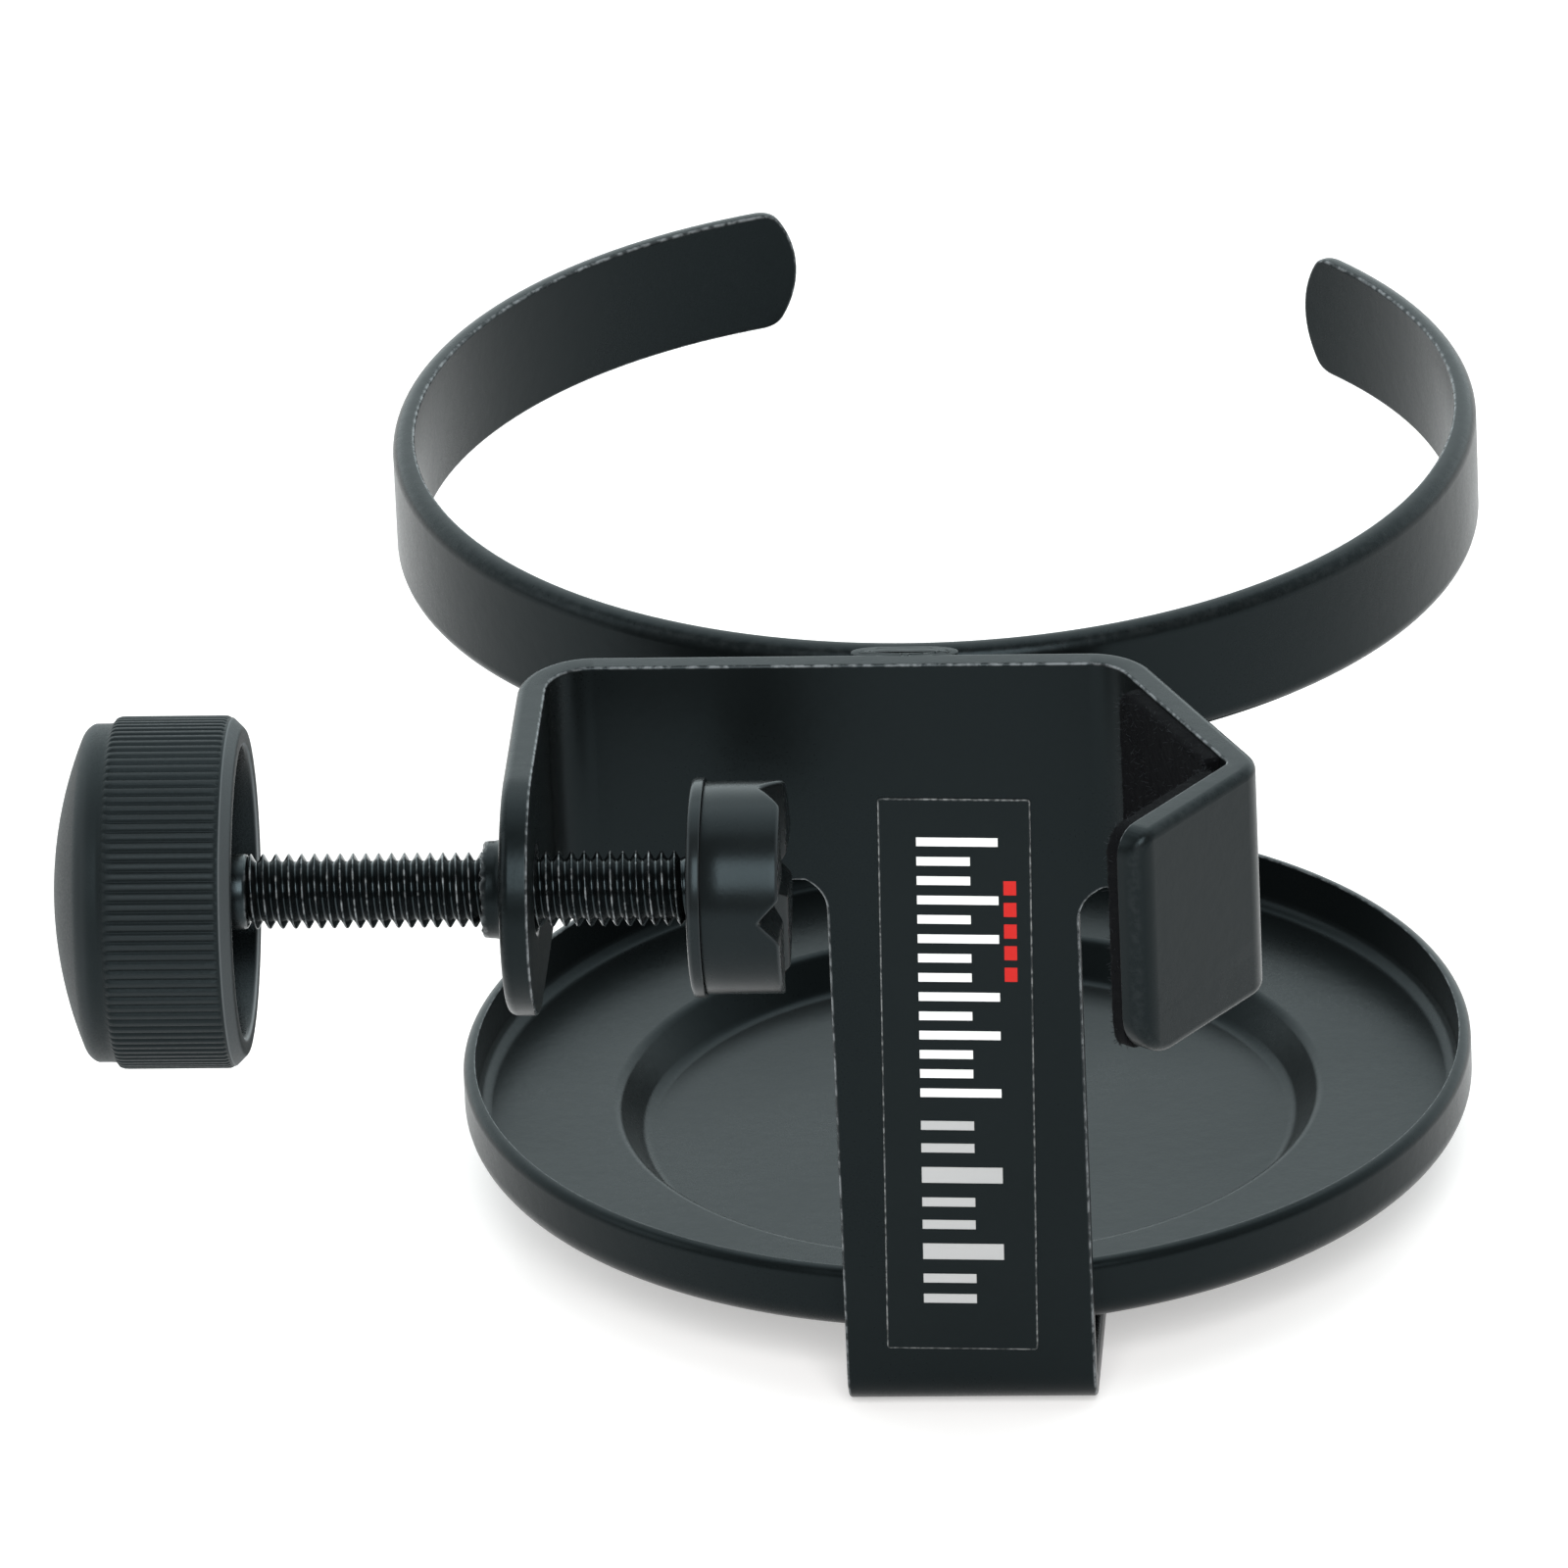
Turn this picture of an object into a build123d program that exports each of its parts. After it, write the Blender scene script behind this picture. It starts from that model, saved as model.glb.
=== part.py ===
from build123d import *
import math
import os

# Clamp-on cup holder: a bent steel bracket grips a pole between a V jaw and a screw-driven shoe,
# and carries an open strip ring above a pressed tray.
# Millimetres. X runs along the clamp screw, Y runs back towards the cup, Z is up.
# Origin: on the cup ring's axis, at the level of the foot's underside; the bracket plate's front
# face is FRONT_Y in front of it.

# Bracket sheet
SHEET = 2.3
BEND_IN = 3.5
VERTEX_BEND_IN = 1.0
STRIP_H = 19.6
TOP_Z = 66.0
STRIP_Z = TOP_Z - STRIP_H

# Cup ring: an open strip hoop welded tangent to the back of the plate
RING_R_OUT = 43.4
RING_SHEET = 1.8
RING_H = 10.2
RING_END_LEFT_DEG = 108.9
RING_END_RIGHT_DEG = 47.0
RING_END_R = 7.6
FRONT_Y = -(RING_R_OUT + SHEET)

# Left flange with a half-round nose and a tapped, plunged collar
FLANGE_OUT_X = -30.0
FLANGE_IN_X = FLANGE_OUT_X + SHEET
NOSE_R = STRIP_H / 2
SCREW_Y = FRONT_Y - 19.0
SCREW_Z = STRIP_Z + STRIP_H / 2
NOSE_Y = SCREW_Y - NOSE_R
COLLAR_R = 3.8
COLLAR_L = 2.0
COLLAR_FLARE = 0.9
HOLE_R = 3.0
HOLE_MOUTH_R = 0.8

# V jaw on the right
JAW_FOLD_X = 16.5
JAW_ARM_DEG = 28.5
JAW_ARM_L = 20.1
JAW_LIP_DEG = 34.0
JAW_LIP_L = 14.6
JAW_LIP_R_TOP = 2.2
JAW_LIP_R_LOW = 3.6
PAD_T = 1.35
PAD_START = 1.4
PAD_MARGIN = 0.25
PAD_CORNER_R = 2.0

# Tongue, foot
TONGUE_X0 = -6.75
TONGUE_X1 = 13.05
TONGUE_FILLET = 3.0
FOOT_BEND_IN = 1.0
FOOT_L = 52.0
FOOT_END_R = 4.0

# Tray
TRAY_X = 0.8
TRAY_R = 40.9
TRAY_SHEET = 1.0
TRAY_GAP = 0.3
TRAY_Y = FRONT_Y + SHEET + TRAY_GAP + TRAY_R
TRAY_TOP_Z = 10.9
TRAY_LEDGE_Z = 6.3
RECESS_TOP_R = 28.4
RECESS_FLOOR_R = 26.4

# Screw
PITCH = 1.0
THREAD_R = 2.93
ROOT_R = 2.32
HEAD_AF = 10.0
HEAD_X = -58.6
HEAD_H = 4.0
THREAD_X0 = -50.2
THREAD_X1 = -15.75
TIP_R = 1.8
RIVET_R = 2.8
RIVET_X0 = -14.4
RIVET_X1 = -13.4

# Knob
KNOB_X0 = -65.2
KNOB_X1 = -50.4
KNOB_R = 13.7
KNOB_ROOT_R = 13.48
KNOB_HEAD_R = 13.15
KNOB_RIM_R = 13.54
RIM_CHAMFER = 0.85
DOME_H = 2.9
RIB_X0 = -60.4
RIB_X1 = -51.45
RIBS = 108
HOLLOW_R = 11.3
HOLLOW_FLOOR_X = -60.2
BOSS_R = 7.0

# Shoe
SHOE_X0 = -15.6
DISC_T = 1.05
DISC_R = 8.55
CAP_R = 8.25
CAP_X1 = -8.4
TIP_PLAY = 0.05
CAVITY_R = 3.3
CAVITY_X1 = -13.0
V_GROOVE_HALF = 2.6
V_GROOVE_DEPTH = 1.7
H_GROOVE_HALF = 1.65
H_GROOVE_DEPTH = 1.6
GROOVE_TURN = -6.0

# Label
LABEL_W = 12.0
LABEL_H = 48.7
LABEL_T = 0.12
LABEL_X = 3.05
LABEL_Z = 29.95
LABEL_TILT = 1.2

# Welds
RING_WELD_X = 4.2
RING_WELD_LEG = 1.8
TRAY_WELD_Y0 = -16.0
TRAY_WELD_Y1 = -2.0
TRAY_WELD_LEG = 1.7


def along_x(shape, x):
    """Turn a shape built along +Z from the origin so that it runs along +X on the screw's axis."""
    return Location((x, SCREW_Y, SCREW_Z)) * Rotation(0, 90, 0) * shape


def rod(radius, x0, x1):
    return along_x(Cylinder(radius, x1 - x0, align=(Align.CENTER, Align.CENTER, Align.MIN)), x0)


def revolved_on_screw(points):
    """Turn a closed outline of (x, radius) points about the screw's axis."""
    outline = [(x, SCREW_Y + radius) for x, radius in points]
    face = Location((0, 0, SCREW_Z)) * make_face(Polyline(*outline, close=True))
    return revolve(face, Axis((0, SCREW_Y, SCREW_Z), (1, 0, 0)), 360)


def jaw_points():
    """Inner corners of the V jaw in plan: fold, vertex and the lip's end."""
    arm = math.radians(JAW_ARM_DEG)
    lip = math.radians(JAW_LIP_DEG)
    fold = (JAW_FOLD_X, FRONT_Y)
    vertex = (fold[0] + JAW_ARM_L * math.sin(arm), fold[1] - JAW_ARM_L * math.cos(arm))
    end = (vertex[0] - JAW_LIP_L * math.sin(lip), vertex[1] - JAW_LIP_L * math.cos(lip))
    return fold, vertex, end


def offset_corner(before, corner, after, distance):
    """Corner of a bent sheet's far face: both legs moved sideways by the sheet's thickness."""
    d0 = Vector(corner[0] - before[0], corner[1] - before[1]).normalized()
    d1 = Vector(after[0] - corner[0], after[1] - corner[1]).normalized()
    n0 = Vector(-d0.Y, d0.X)
    n1 = Vector(-d1.Y, d1.X)
    mid = (n0 + n1).normalized()
    reach = distance / mid.dot(n0)
    return corner[0] + mid.X * reach, corner[1] + mid.Y * reach


def strip_plan():
    """Plan outline of the bent strip: flange, plate, jaw arm and jaw lip."""
    fold, vertex, end = jaw_points()
    nose = (FLANGE_IN_X, NOSE_Y)
    corner = (FLANGE_IN_X, FRONT_Y)
    inner = [nose, corner, fold, vertex, end]
    lip = math.radians(JAW_LIP_DEG)
    outer = [
        (FLANGE_OUT_X, NOSE_Y),
        (FLANGE_OUT_X, FRONT_Y + SHEET),
        offset_corner(corner, fold, vertex, SHEET),
        offset_corner(fold, vertex, end, SHEET),
        (end[0] + SHEET * math.cos(lip), end[1] - SHEET * math.sin(lip)),
    ]
    face = make_face(Polyline(*inner, *reversed(outer), close=True))
    radii = {
        corner: BEND_IN,
        fold: BEND_IN,
        vertex: VERTEX_BEND_IN,
        outer[1]: BEND_IN + SHEET,
        outer[2]: BEND_IN + SHEET,
        outer[3]: VERTEX_BEND_IN + SHEET,
    }
    for (x, y), radius in radii.items():
        spot = face.vertices().sort_by_distance((x, y, 0))[0]
        face = fillet(spot, radius)
    return face


def bent_strip():
    strip = Location((0, 0, STRIP_Z)) * extrude(strip_plan(), STRIP_H)
    nose_zone = Box(SHEET + 2, NOSE_R + 2, STRIP_H + 2, align=(Align.CENTER, Align.MAX, Align.CENTER))
    nose_zone = Location((FLANGE_OUT_X + SHEET / 2, SCREW_Y, SCREW_Z)) * nose_zone
    nose_zone -= rod(NOSE_R, FLANGE_OUT_X - 2, FLANGE_IN_X + 2)
    strip -= nose_zone
    end = jaw_points()[2]
    for z, radius in ((TOP_Z, JAW_LIP_R_TOP), (STRIP_Z, JAW_LIP_R_LOW)):
        edge = strip.edges().filter_by(GeomType.LINE).filter_by(
            lambda e: abs(e.length - SHEET) < 0.01 and abs(e.center().Z - z) < 0.01
        ).sort_by_distance((end[0], end[1], z))[0]
        strip = fillet(edge, radius)
    return strip


def tongue_and_foot():
    """L-shaped leg below the plate, with corner fillets where it leaves the plate."""
    side = [
        (FRONT_Y, STRIP_Z),
        (FRONT_Y + SHEET, STRIP_Z),
        (FRONT_Y + SHEET, SHEET),
        (FRONT_Y + FOOT_L, SHEET),
        (FRONT_Y + FOOT_L, 0),
        (FRONT_Y, 0),
    ]
    face = make_face(Polyline(*side, close=True))
    inside = face.vertices().sort_by_distance((side[2][0], side[2][1], 0))[0]
    face = fillet(inside, FOOT_BEND_IN)
    outside = face.vertices().sort_by_distance((side[5][0], side[5][1], 0))[0]
    face = fillet(outside, FOOT_BEND_IN + SHEET)
    leg = extrude(Plane.YZ.offset(TONGUE_X0) * face, TONGUE_X1 - TONGUE_X0)
    ends = leg.edges().filter_by(Axis.Z).group_by(Axis.Y)[-1]
    return fillet(ends, FOOT_END_R)


def collar():
    """Metal drawn outwards around the screw hole, flared where it leaves the flange."""
    tip_x = FLANGE_OUT_X - COLLAR_L
    points = [
        (tip_x, 0),
        (tip_x, COLLAR_R - 0.25),
        (tip_x + 0.25, COLLAR_R),
        (FLANGE_OUT_X - COLLAR_FLARE, COLLAR_R),
        (FLANGE_OUT_X - COLLAR_FLARE * 0.4, COLLAR_R + COLLAR_FLARE * 0.25),
        (FLANGE_OUT_X, COLLAR_R + COLLAR_FLARE),
        (FLANGE_OUT_X + 0.5, COLLAR_R + COLLAR_FLARE),
        (FLANGE_OUT_X + 0.5, 0),
    ]
    return revolved_on_screw(points)


def hole_mouth():
    """Rounded-in mouth on the flange's inner face."""
    points = [
        (FLANGE_IN_X - HOLE_MOUTH_R, 0),
        (FLANGE_IN_X - HOLE_MOUTH_R, HOLE_R),
        (FLANGE_IN_X - HOLE_MOUTH_R * 0.35, HOLE_R + HOLE_MOUTH_R * 0.35),
        (FLANGE_IN_X, HOLE_R + HOLE_MOUTH_R),
        (FLANGE_IN_X + 0.5, HOLE_R + HOLE_MOUTH_R),
        (FLANGE_IN_X + 0.5, 0),
    ]
    return revolved_on_screw(points)


def clamp_bracket():
    body = bent_strip() + tongue_and_foot()
    for x in (TONGUE_X0, TONGUE_X1):
        edge = body.edges().filter_by(Axis.Y).sort_by_distance((x, FRONT_Y + SHEET / 2, STRIP_Z))[0]
        body = fillet(edge, TONGUE_FILLET)
    body += collar()
    body -= hole_mouth()
    body -= rod(HOLE_R, FLANGE_OUT_X - COLLAR_L - 1, FLANGE_IN_X + 1)
    return body


def ring_end_cutter(angle_deg, side):
    """Removes everything past one end of the strip, leaving an arc-shaped end."""
    block = Box(14, 30, RING_H + 2, align=(Align.CENTER, Align.MIN, Align.CENTER))
    block = Location((0, -RING_END_R, 0)) * block
    keep = Rotation(0, 90, 0) * Cylinder(RING_END_R, 16)
    tail = Box(16, 12, RING_H + 4, align=(Align.CENTER, Align.MAX, Align.CENTER))
    arc_drop = RING_END_R - math.sqrt(RING_END_R**2 - (RING_H / 2) ** 2)
    tail = Location((0, -arc_drop, 0)) * tail
    place = Location((0, 0, TOP_Z - RING_H / 2)) * Rotation(0, 0, angle_deg)
    place = place * Location((RING_R_OUT, 0, 0))
    flip = Rotation(0, 0, 0) if side > 0 else Rotation(180, 0, 0)
    return place * flip * (block - Location((0, -RING_END_R, 0)) * keep - tail)


def cup_ring():
    hoop = Cylinder(RING_R_OUT, RING_H) - Cylinder(RING_R_OUT - RING_SHEET, RING_H)
    hoop = Location((0, 0, TOP_Z - RING_H / 2)) * hoop
    start = math.radians(RING_END_RIGHT_DEG)
    stop = math.radians(RING_END_LEFT_DEG)
    reach = 2 * RING_R_OUT
    wedge = Polyline(
        (0, 0),
        (reach * math.cos(start), reach * math.sin(start)),
        (reach * math.cos(stop), reach * math.sin(stop)),
        close=True,
    )
    gap = Location((0, 0, TOP_Z - RING_H - 1)) * extrude(make_face(wedge), RING_H + 2)
    hoop -= gap
    hoop -= ring_end_cutter(RING_END_RIGHT_DEG, 1)
    hoop -= ring_end_cutter(RING_END_LEFT_DEG, -1)
    return hoop


def ring_weld_beads():
    """A thin cap over the joint on top and a fillet bead under the hoop."""
    back_y = FRONT_Y + SHEET
    cap = Ellipse(RING_WELD_X, 1.1)
    cap = Location((0, back_y, TOP_Z)) * extrude(cap, 0.15)
    low_z = TOP_Z - RING_H
    profile = [
        (back_y, low_z),
        (back_y + RING_WELD_LEG * 0.9, low_z),
        (back_y + RING_WELD_LEG * 0.55, low_z - RING_WELD_LEG * 0.55),
        (back_y, low_z - RING_WELD_LEG),
    ]
    face = Plane.YZ.offset(-RING_WELD_X) * make_face(Polyline(*profile, close=True))
    bead = extrude(face, 2 * RING_WELD_X)
    return [cap, bead]


def cup_tray():
    t = TRAY_SHEET
    top = [
        (0, SHEET + t),
        (RECESS_FLOOR_R, SHEET + t),
        (RECESS_TOP_R, TRAY_LEDGE_Z),
        (TRAY_R - t, TRAY_LEDGE_Z),
        (TRAY_R - t, TRAY_TOP_Z),
        (TRAY_R, TRAY_TOP_Z),
    ]
    slope = math.atan2(TRAY_LEDGE_Z - SHEET - t, RECESS_TOP_R - RECESS_FLOOR_R)
    shift = t * math.tan(slope / 2)
    under = [
        (TRAY_R, TRAY_LEDGE_Z - t),
        (RECESS_TOP_R + shift, TRAY_LEDGE_Z - t),
        (RECESS_FLOOR_R + shift, SHEET),
        (0, SHEET),
    ]
    face = make_face(Polyline(*top, *under, close=True))
    radii = [
        (top[1], 1.2),
        (top[2], 1.0),
        (top[3], 1.2),
        (top[4], 0.45),
        (top[5], 0.45),
        (under[0], 1.2 + t),
        (under[1], 1.0 + t),
        (under[2], 1.2 + t),
    ]
    for (x, y), radius in radii:
        spot = face.vertices().sort_by_distance((x, y, 0))[0]
        face = fillet(spot, radius)
    tray = revolve(Plane.XZ * face, Axis.Z, 360)
    return Location((TRAY_X, TRAY_Y, 0)) * tray


def tray_weld_beads():
    """Fillet beads along both sides of the foot, under the tray's recess."""
    beads = []
    for x, side in ((TONGUE_X0, -1), (TONGUE_X1, 1)):
        profile = [
            (x, SHEET),
            (x + side * TRAY_WELD_LEG, SHEET),
            (x + side * TRAY_WELD_LEG * 0.6, SHEET - TRAY_WELD_LEG * 0.6),
            (x, SHEET - TRAY_WELD_LEG),
        ]
        face = Plane.XZ.offset(-TRAY_WELD_Y0) * make_face(Polyline(*profile, close=True))
        beads.append(extrude(face, -(TRAY_WELD_Y1 - TRAY_WELD_Y0)))
    return beads


def jaw_pad(start, direction, normal, length):
    """A felt strip glued to one inner face of the V jaw."""
    along = Vector(*direction)
    inward = Vector(*normal)
    base = Vector(*start) + along * PAD_START
    corners = [
        base,
        base + along * length,
        base + along * length + inward * PAD_T,
        base + inward * PAD_T,
    ]
    face = make_face(Polyline(*[(c.X, c.Y) for c in corners], close=True))
    low_z = STRIP_Z + PAD_MARGIN
    high_z = TOP_Z - PAD_MARGIN
    pad = Location((0, 0, low_z)) * extrude(face, high_z - low_z)
    far = corners[1] + inward * (PAD_T / 2)
    for z in (low_z, high_z):
        short = pad.edges().filter_by(lambda e: abs(e.length - PAD_T) < 0.01)
        edge = short.sort_by_distance((far.X, far.Y, z))[0]
        pad = fillet(edge, PAD_CORNER_R)
    return pad


def jaw_pad_rear():
    arm = math.radians(JAW_ARM_DEG)
    vertex = jaw_points()[1]
    return jaw_pad(vertex, (-math.sin(arm), math.cos(arm)), (-math.cos(arm), -math.sin(arm)), 15.5)


def jaw_pad_front():
    lip = math.radians(JAW_LIP_DEG)
    vertex = jaw_points()[1]
    return jaw_pad(vertex, (-math.sin(lip), -math.cos(lip)), (-math.cos(lip), math.sin(lip)), 12.9)


def thread_edge(radius, shift):
    """One helical edge of the thread's ridge, from one pitch before the rod to one pitch beyond it."""
    height = THREAD_X1 - THREAD_X0 + 2 * PITCH
    return Edge.make_helix(PITCH, height, radius, center=(0, 0, shift - PITCH))


def thread_ridge():
    """Right-handed ridge with 60 degree flanks whose base lies inside the core."""
    crest = PITCH / 16
    base = PITCH * 0.48
    base_r = THREAD_R - (base - crest) / math.tan(math.radians(30))
    edges = [
        thread_edge(base_r, -base),
        thread_edge(THREAD_R, -crest),
        thread_edge(THREAD_R, crest),
        thread_edge(base_r, base),
    ]
    faces = [Face.make_surface_from_curves(edges[i - 1], edges[i]) for i in range(4)]
    for end in (0, 1):
        faces.append(Face(Wire.make_polygon([edge @ end for edge in edges], close=True)))
    return Solid(Shell(faces))


def threaded_rod():
    length = THREAD_X1 - THREAD_X0
    core = Cylinder(ROOT_R, length, align=(Align.CENTER, Align.CENTER, Align.MIN))
    room = Cylinder(THREAD_R + 1, length, align=(Align.CENTER, Align.CENTER, Align.MIN))
    return along_x(core + (thread_ridge() & room), THREAD_X0)


def clamp_screw():
    head = extrude(RegularPolygon(HEAD_AF / 2, 6, major_radius=False), HEAD_H)
    head = along_x(head, HEAD_X)
    shank = rod(THREAD_R, HEAD_X + HEAD_H, THREAD_X0)
    tip = rod(TIP_R, THREAD_X1, RIVET_X0)
    rivet = revolved_on_screw([
        (RIVET_X0, 0),
        (RIVET_X0, RIVET_R),
        (RIVET_X0 + 0.45, RIVET_R),
        (RIVET_X1, RIVET_R * 0.6),
        (RIVET_X1, 0),
    ])
    return head + shank + threaded_rod() + tip + rivet


def knob_core():
    """Domed, hollow knob body without its ribs."""
    sphere_r = (KNOB_HEAD_R**2 + DOME_H**2) / (2 * DOME_H)
    centre_x = KNOB_X0 + sphere_r
    edge = 0.7
    outline = [(KNOB_X0, 0)]
    for i in range(1, 9):
        radius = (KNOB_HEAD_R - edge) * i / 8
        outline.append((centre_x - math.sqrt(sphere_r**2 - radius**2), radius))
    outline += [
        (KNOB_X0 + DOME_H + edge * 0.45, KNOB_HEAD_R - edge * 0.2),
        (KNOB_X0 + DOME_H + edge * 1.2, KNOB_HEAD_R),
        (RIB_X0 - 0.3, KNOB_HEAD_R),
        (RIB_X0, KNOB_ROOT_R),
        (RIB_X1, KNOB_ROOT_R),
        (RIB_X1, KNOB_RIM_R),
        (KNOB_X1 - RIM_CHAMFER, KNOB_RIM_R),
        (KNOB_X1, KNOB_RIM_R - RIM_CHAMFER),
        (KNOB_X1, HOLLOW_R + 0.4),
        (KNOB_X1 - 0.4, HOLLOW_R),
        (HOLLOW_FLOOR_X, HOLLOW_R - 0.5),
        (HOLLOW_FLOOR_X, BOSS_R),
        (HEAD_X + HEAD_H, BOSS_R - 0.3),
        (HEAD_X + HEAD_H, 0),
    ]
    return revolved_on_screw(outline)


def rib_band():
    """Fine triangular ribs as one star-shaped band around the knob."""
    points = []
    for i in range(RIBS):
        for radius, shift in ((KNOB_ROOT_R, 0.0), (KNOB_R, 0.32), (KNOB_R, 0.62), (KNOB_ROOT_R, 0.94)):
            turn = 2 * math.pi * (i + shift) / RIBS
            points.append((radius * math.cos(turn), radius * math.sin(turn)))
    star = extrude(make_face(Polyline(*points, close=True)), RIB_X1 - RIB_X0)
    star -= Cylinder(KNOB_ROOT_R - 1, RIB_X1 - RIB_X0, align=(Align.CENTER, Align.CENTER, Align.MIN))
    return along_x(star, RIB_X0)


def knob():
    body = knob_core() + rib_band()
    pocket = extrude(RegularPolygon(HEAD_AF / 2, 6, major_radius=False), HEAD_H)
    return body - along_x(pocket, HEAD_X)


def shoe_disc():
    points = [
        (SHOE_X0, 0),
        (SHOE_X0, DISC_R - 0.3),
        (SHOE_X0 + 0.3, DISC_R),
        (SHOE_X0 + DISC_T, DISC_R),
        (SHOE_X0 + DISC_T, 0),
    ]
    return revolved_on_screw(points) - rod(TIP_R + TIP_PLAY, SHOE_X0 - 1, SHOE_X0 + DISC_T + 1)


def v_groove(half, depth, angle):
    """A V groove straight across the shoe's face."""
    face_x = CAP_X1
    over = 0.2
    wide = half + over * half / depth
    outline = [(face_x - depth, 0), (face_x + over, wide), (face_x + over, -wide)]
    cutter = extrude(make_face(Polyline(*outline, close=True)), CAP_R + 2, both=True)
    return Location((0, SCREW_Y, SCREW_Z)) * Rotation(angle, 0, 0) * cutter


def shoe_cap():
    x0 = SHOE_X0 + DISC_T
    points = [
        (x0, 0),
        (x0, CAP_R),
        (CAP_X1 - 0.3, CAP_R),
        (CAP_X1, CAP_R - 0.3),
        (CAP_X1, 0),
    ]
    body = revolved_on_screw(points)
    body -= rod(CAVITY_R, x0 - 1, CAVITY_X1)
    body -= v_groove(V_GROOVE_HALF, V_GROOVE_DEPTH, GROOVE_TURN)
    body -= v_groove(H_GROOVE_HALF, H_GROOVE_DEPTH, 90 + GROOVE_TURN)
    return body


def label():
    sticker = Box(LABEL_W, LABEL_T, LABEL_H, align=(Align.CENTER, Align.MAX, Align.CENTER))
    return Location((LABEL_X, FRONT_Y, LABEL_Z)) * Rotation(0, LABEL_TILT, 0) * sticker


def write(name, shapes):
    """One STEP file per named piece; a list becomes a group of separate solids."""
    if isinstance(shapes, list):
        shapes = Compound(children=[Solid(s.solid().wrapped) for s in shapes])
    export_step(shapes, f"parts/{name}.step")


os.makedirs("parts", exist_ok=True)
write("clamp_bracket", clamp_bracket())
write("cup_ring", cup_ring())
write("ring_weld_beads", ring_weld_beads())
write("cup_tray", cup_tray())
write("tray_weld_beads", tray_weld_beads())
write("clamp_screw", clamp_screw())
write("knob", knob())
write("shoe_disc", shoe_disc())
write("shoe_cap", shoe_cap())
write("jaw_pad_rear", jaw_pad_rear())
write("jaw_pad_front", jaw_pad_front())
write("label", label())
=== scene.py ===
import cmath
import math
import random

import bmesh
import bpy
from mathutils import Matrix, Vector, geometry, noise


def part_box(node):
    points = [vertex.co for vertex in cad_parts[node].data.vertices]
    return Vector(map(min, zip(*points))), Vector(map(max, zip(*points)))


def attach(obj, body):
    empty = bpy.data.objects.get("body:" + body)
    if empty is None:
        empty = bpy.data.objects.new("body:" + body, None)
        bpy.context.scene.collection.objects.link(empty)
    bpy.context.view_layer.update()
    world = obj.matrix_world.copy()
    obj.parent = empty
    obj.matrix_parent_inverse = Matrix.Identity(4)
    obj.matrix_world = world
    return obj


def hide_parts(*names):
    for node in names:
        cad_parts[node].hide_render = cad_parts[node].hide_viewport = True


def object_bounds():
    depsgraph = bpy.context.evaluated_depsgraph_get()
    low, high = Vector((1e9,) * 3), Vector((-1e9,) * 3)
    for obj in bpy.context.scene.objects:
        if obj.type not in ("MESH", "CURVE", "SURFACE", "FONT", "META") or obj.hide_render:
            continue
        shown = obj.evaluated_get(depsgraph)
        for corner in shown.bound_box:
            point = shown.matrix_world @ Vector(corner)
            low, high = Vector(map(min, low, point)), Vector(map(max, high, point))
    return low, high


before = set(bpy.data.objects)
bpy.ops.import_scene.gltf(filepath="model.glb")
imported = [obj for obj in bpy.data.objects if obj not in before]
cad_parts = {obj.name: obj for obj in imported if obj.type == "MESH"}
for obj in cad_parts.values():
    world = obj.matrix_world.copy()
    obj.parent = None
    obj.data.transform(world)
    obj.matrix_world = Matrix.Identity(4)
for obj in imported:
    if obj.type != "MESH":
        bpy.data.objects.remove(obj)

# Clamp-on cup holder. Lengths below are millimetres in the CAD's frame; meshes are scaled to metres
# as they are made. X runs along the clamp screw, Y back towards the cup, Z up.
MM = 0.001
TURN = 2 * math.pi
cad_low, cad_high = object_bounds()


def box_mm(node):
    low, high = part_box(node)
    return low / MM, high / MM


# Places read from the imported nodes
bracket_low, bracket_high = box_mm("clamp_bracket")
ring_low, ring_high = box_mm("cup_ring")
tray_low, tray_high = box_mm("cup_tray")
knob_low, knob_high = box_mm("knob")
screw_low, screw_high = box_mm("clamp_screw")
disc_low, disc_high = box_mm("shoe_disc")
cap_low, cap_high = box_mm("shoe_cap")
label_low, label_high = box_mm("label")
tray_weld_low, tray_weld_high = box_mm("tray_weld_beads")
ring_weld_low, ring_weld_high = box_mm("ring_weld_beads")

# Shape of the bent sheet
SHEET = 2.3
BEND_IN = 3.5
VERTEX_BEND_IN = 1.0
TOP_Z = bracket_high.z
STRIP_H = 19.6
STRIP_Z = TOP_Z - STRIP_H
RING_R_OUT = (ring_high.x - ring_low.x) / 2
RING_X = (ring_high.x + ring_low.x) / 2
RING_SHEET = 1.8
RING_H = 10.2
RING_START_DEG = 108.9
RING_STOP_DEG = 407.0
RING_END_R = 7.6
FRONT_Y = -(RING_R_OUT + SHEET)
FLANGE_OUT_X = -30.0
FLANGE_IN_X = FLANGE_OUT_X + SHEET
NOSE_R = STRIP_H / 2
SCREW_Y = (knob_low.y + knob_high.y) / 2
SCREW_Z = (knob_low.z + knob_high.z) / 2
NOSE_Y = SCREW_Y - NOSE_R
JAW_FOLD_X = 16.5
JAW_ARM = math.radians(28.5)
JAW_ARM_L = 20.1
JAW_LIP = math.radians(34.0)
JAW_LIP_L = 14.6
JAW_LIP_R_TOP = 2.2
JAW_LIP_R_LOW = 3.6
LIP_ROLL = 1.9
LIP_ROLL_DROP = 1.3
TONGUE_X0 = -6.75
TONGUE_X1 = 13.05
TONGUE_FILLET = 3.0
FOOT_BEND_IN = 1.0
FOOT_END_R = 4.0
HOLE_R = 3.0
COLLAR_R = 3.8
COLLAR_L = FLANGE_OUT_X - bracket_low.x


# ---------------------------------------------------------------- node materials

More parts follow.
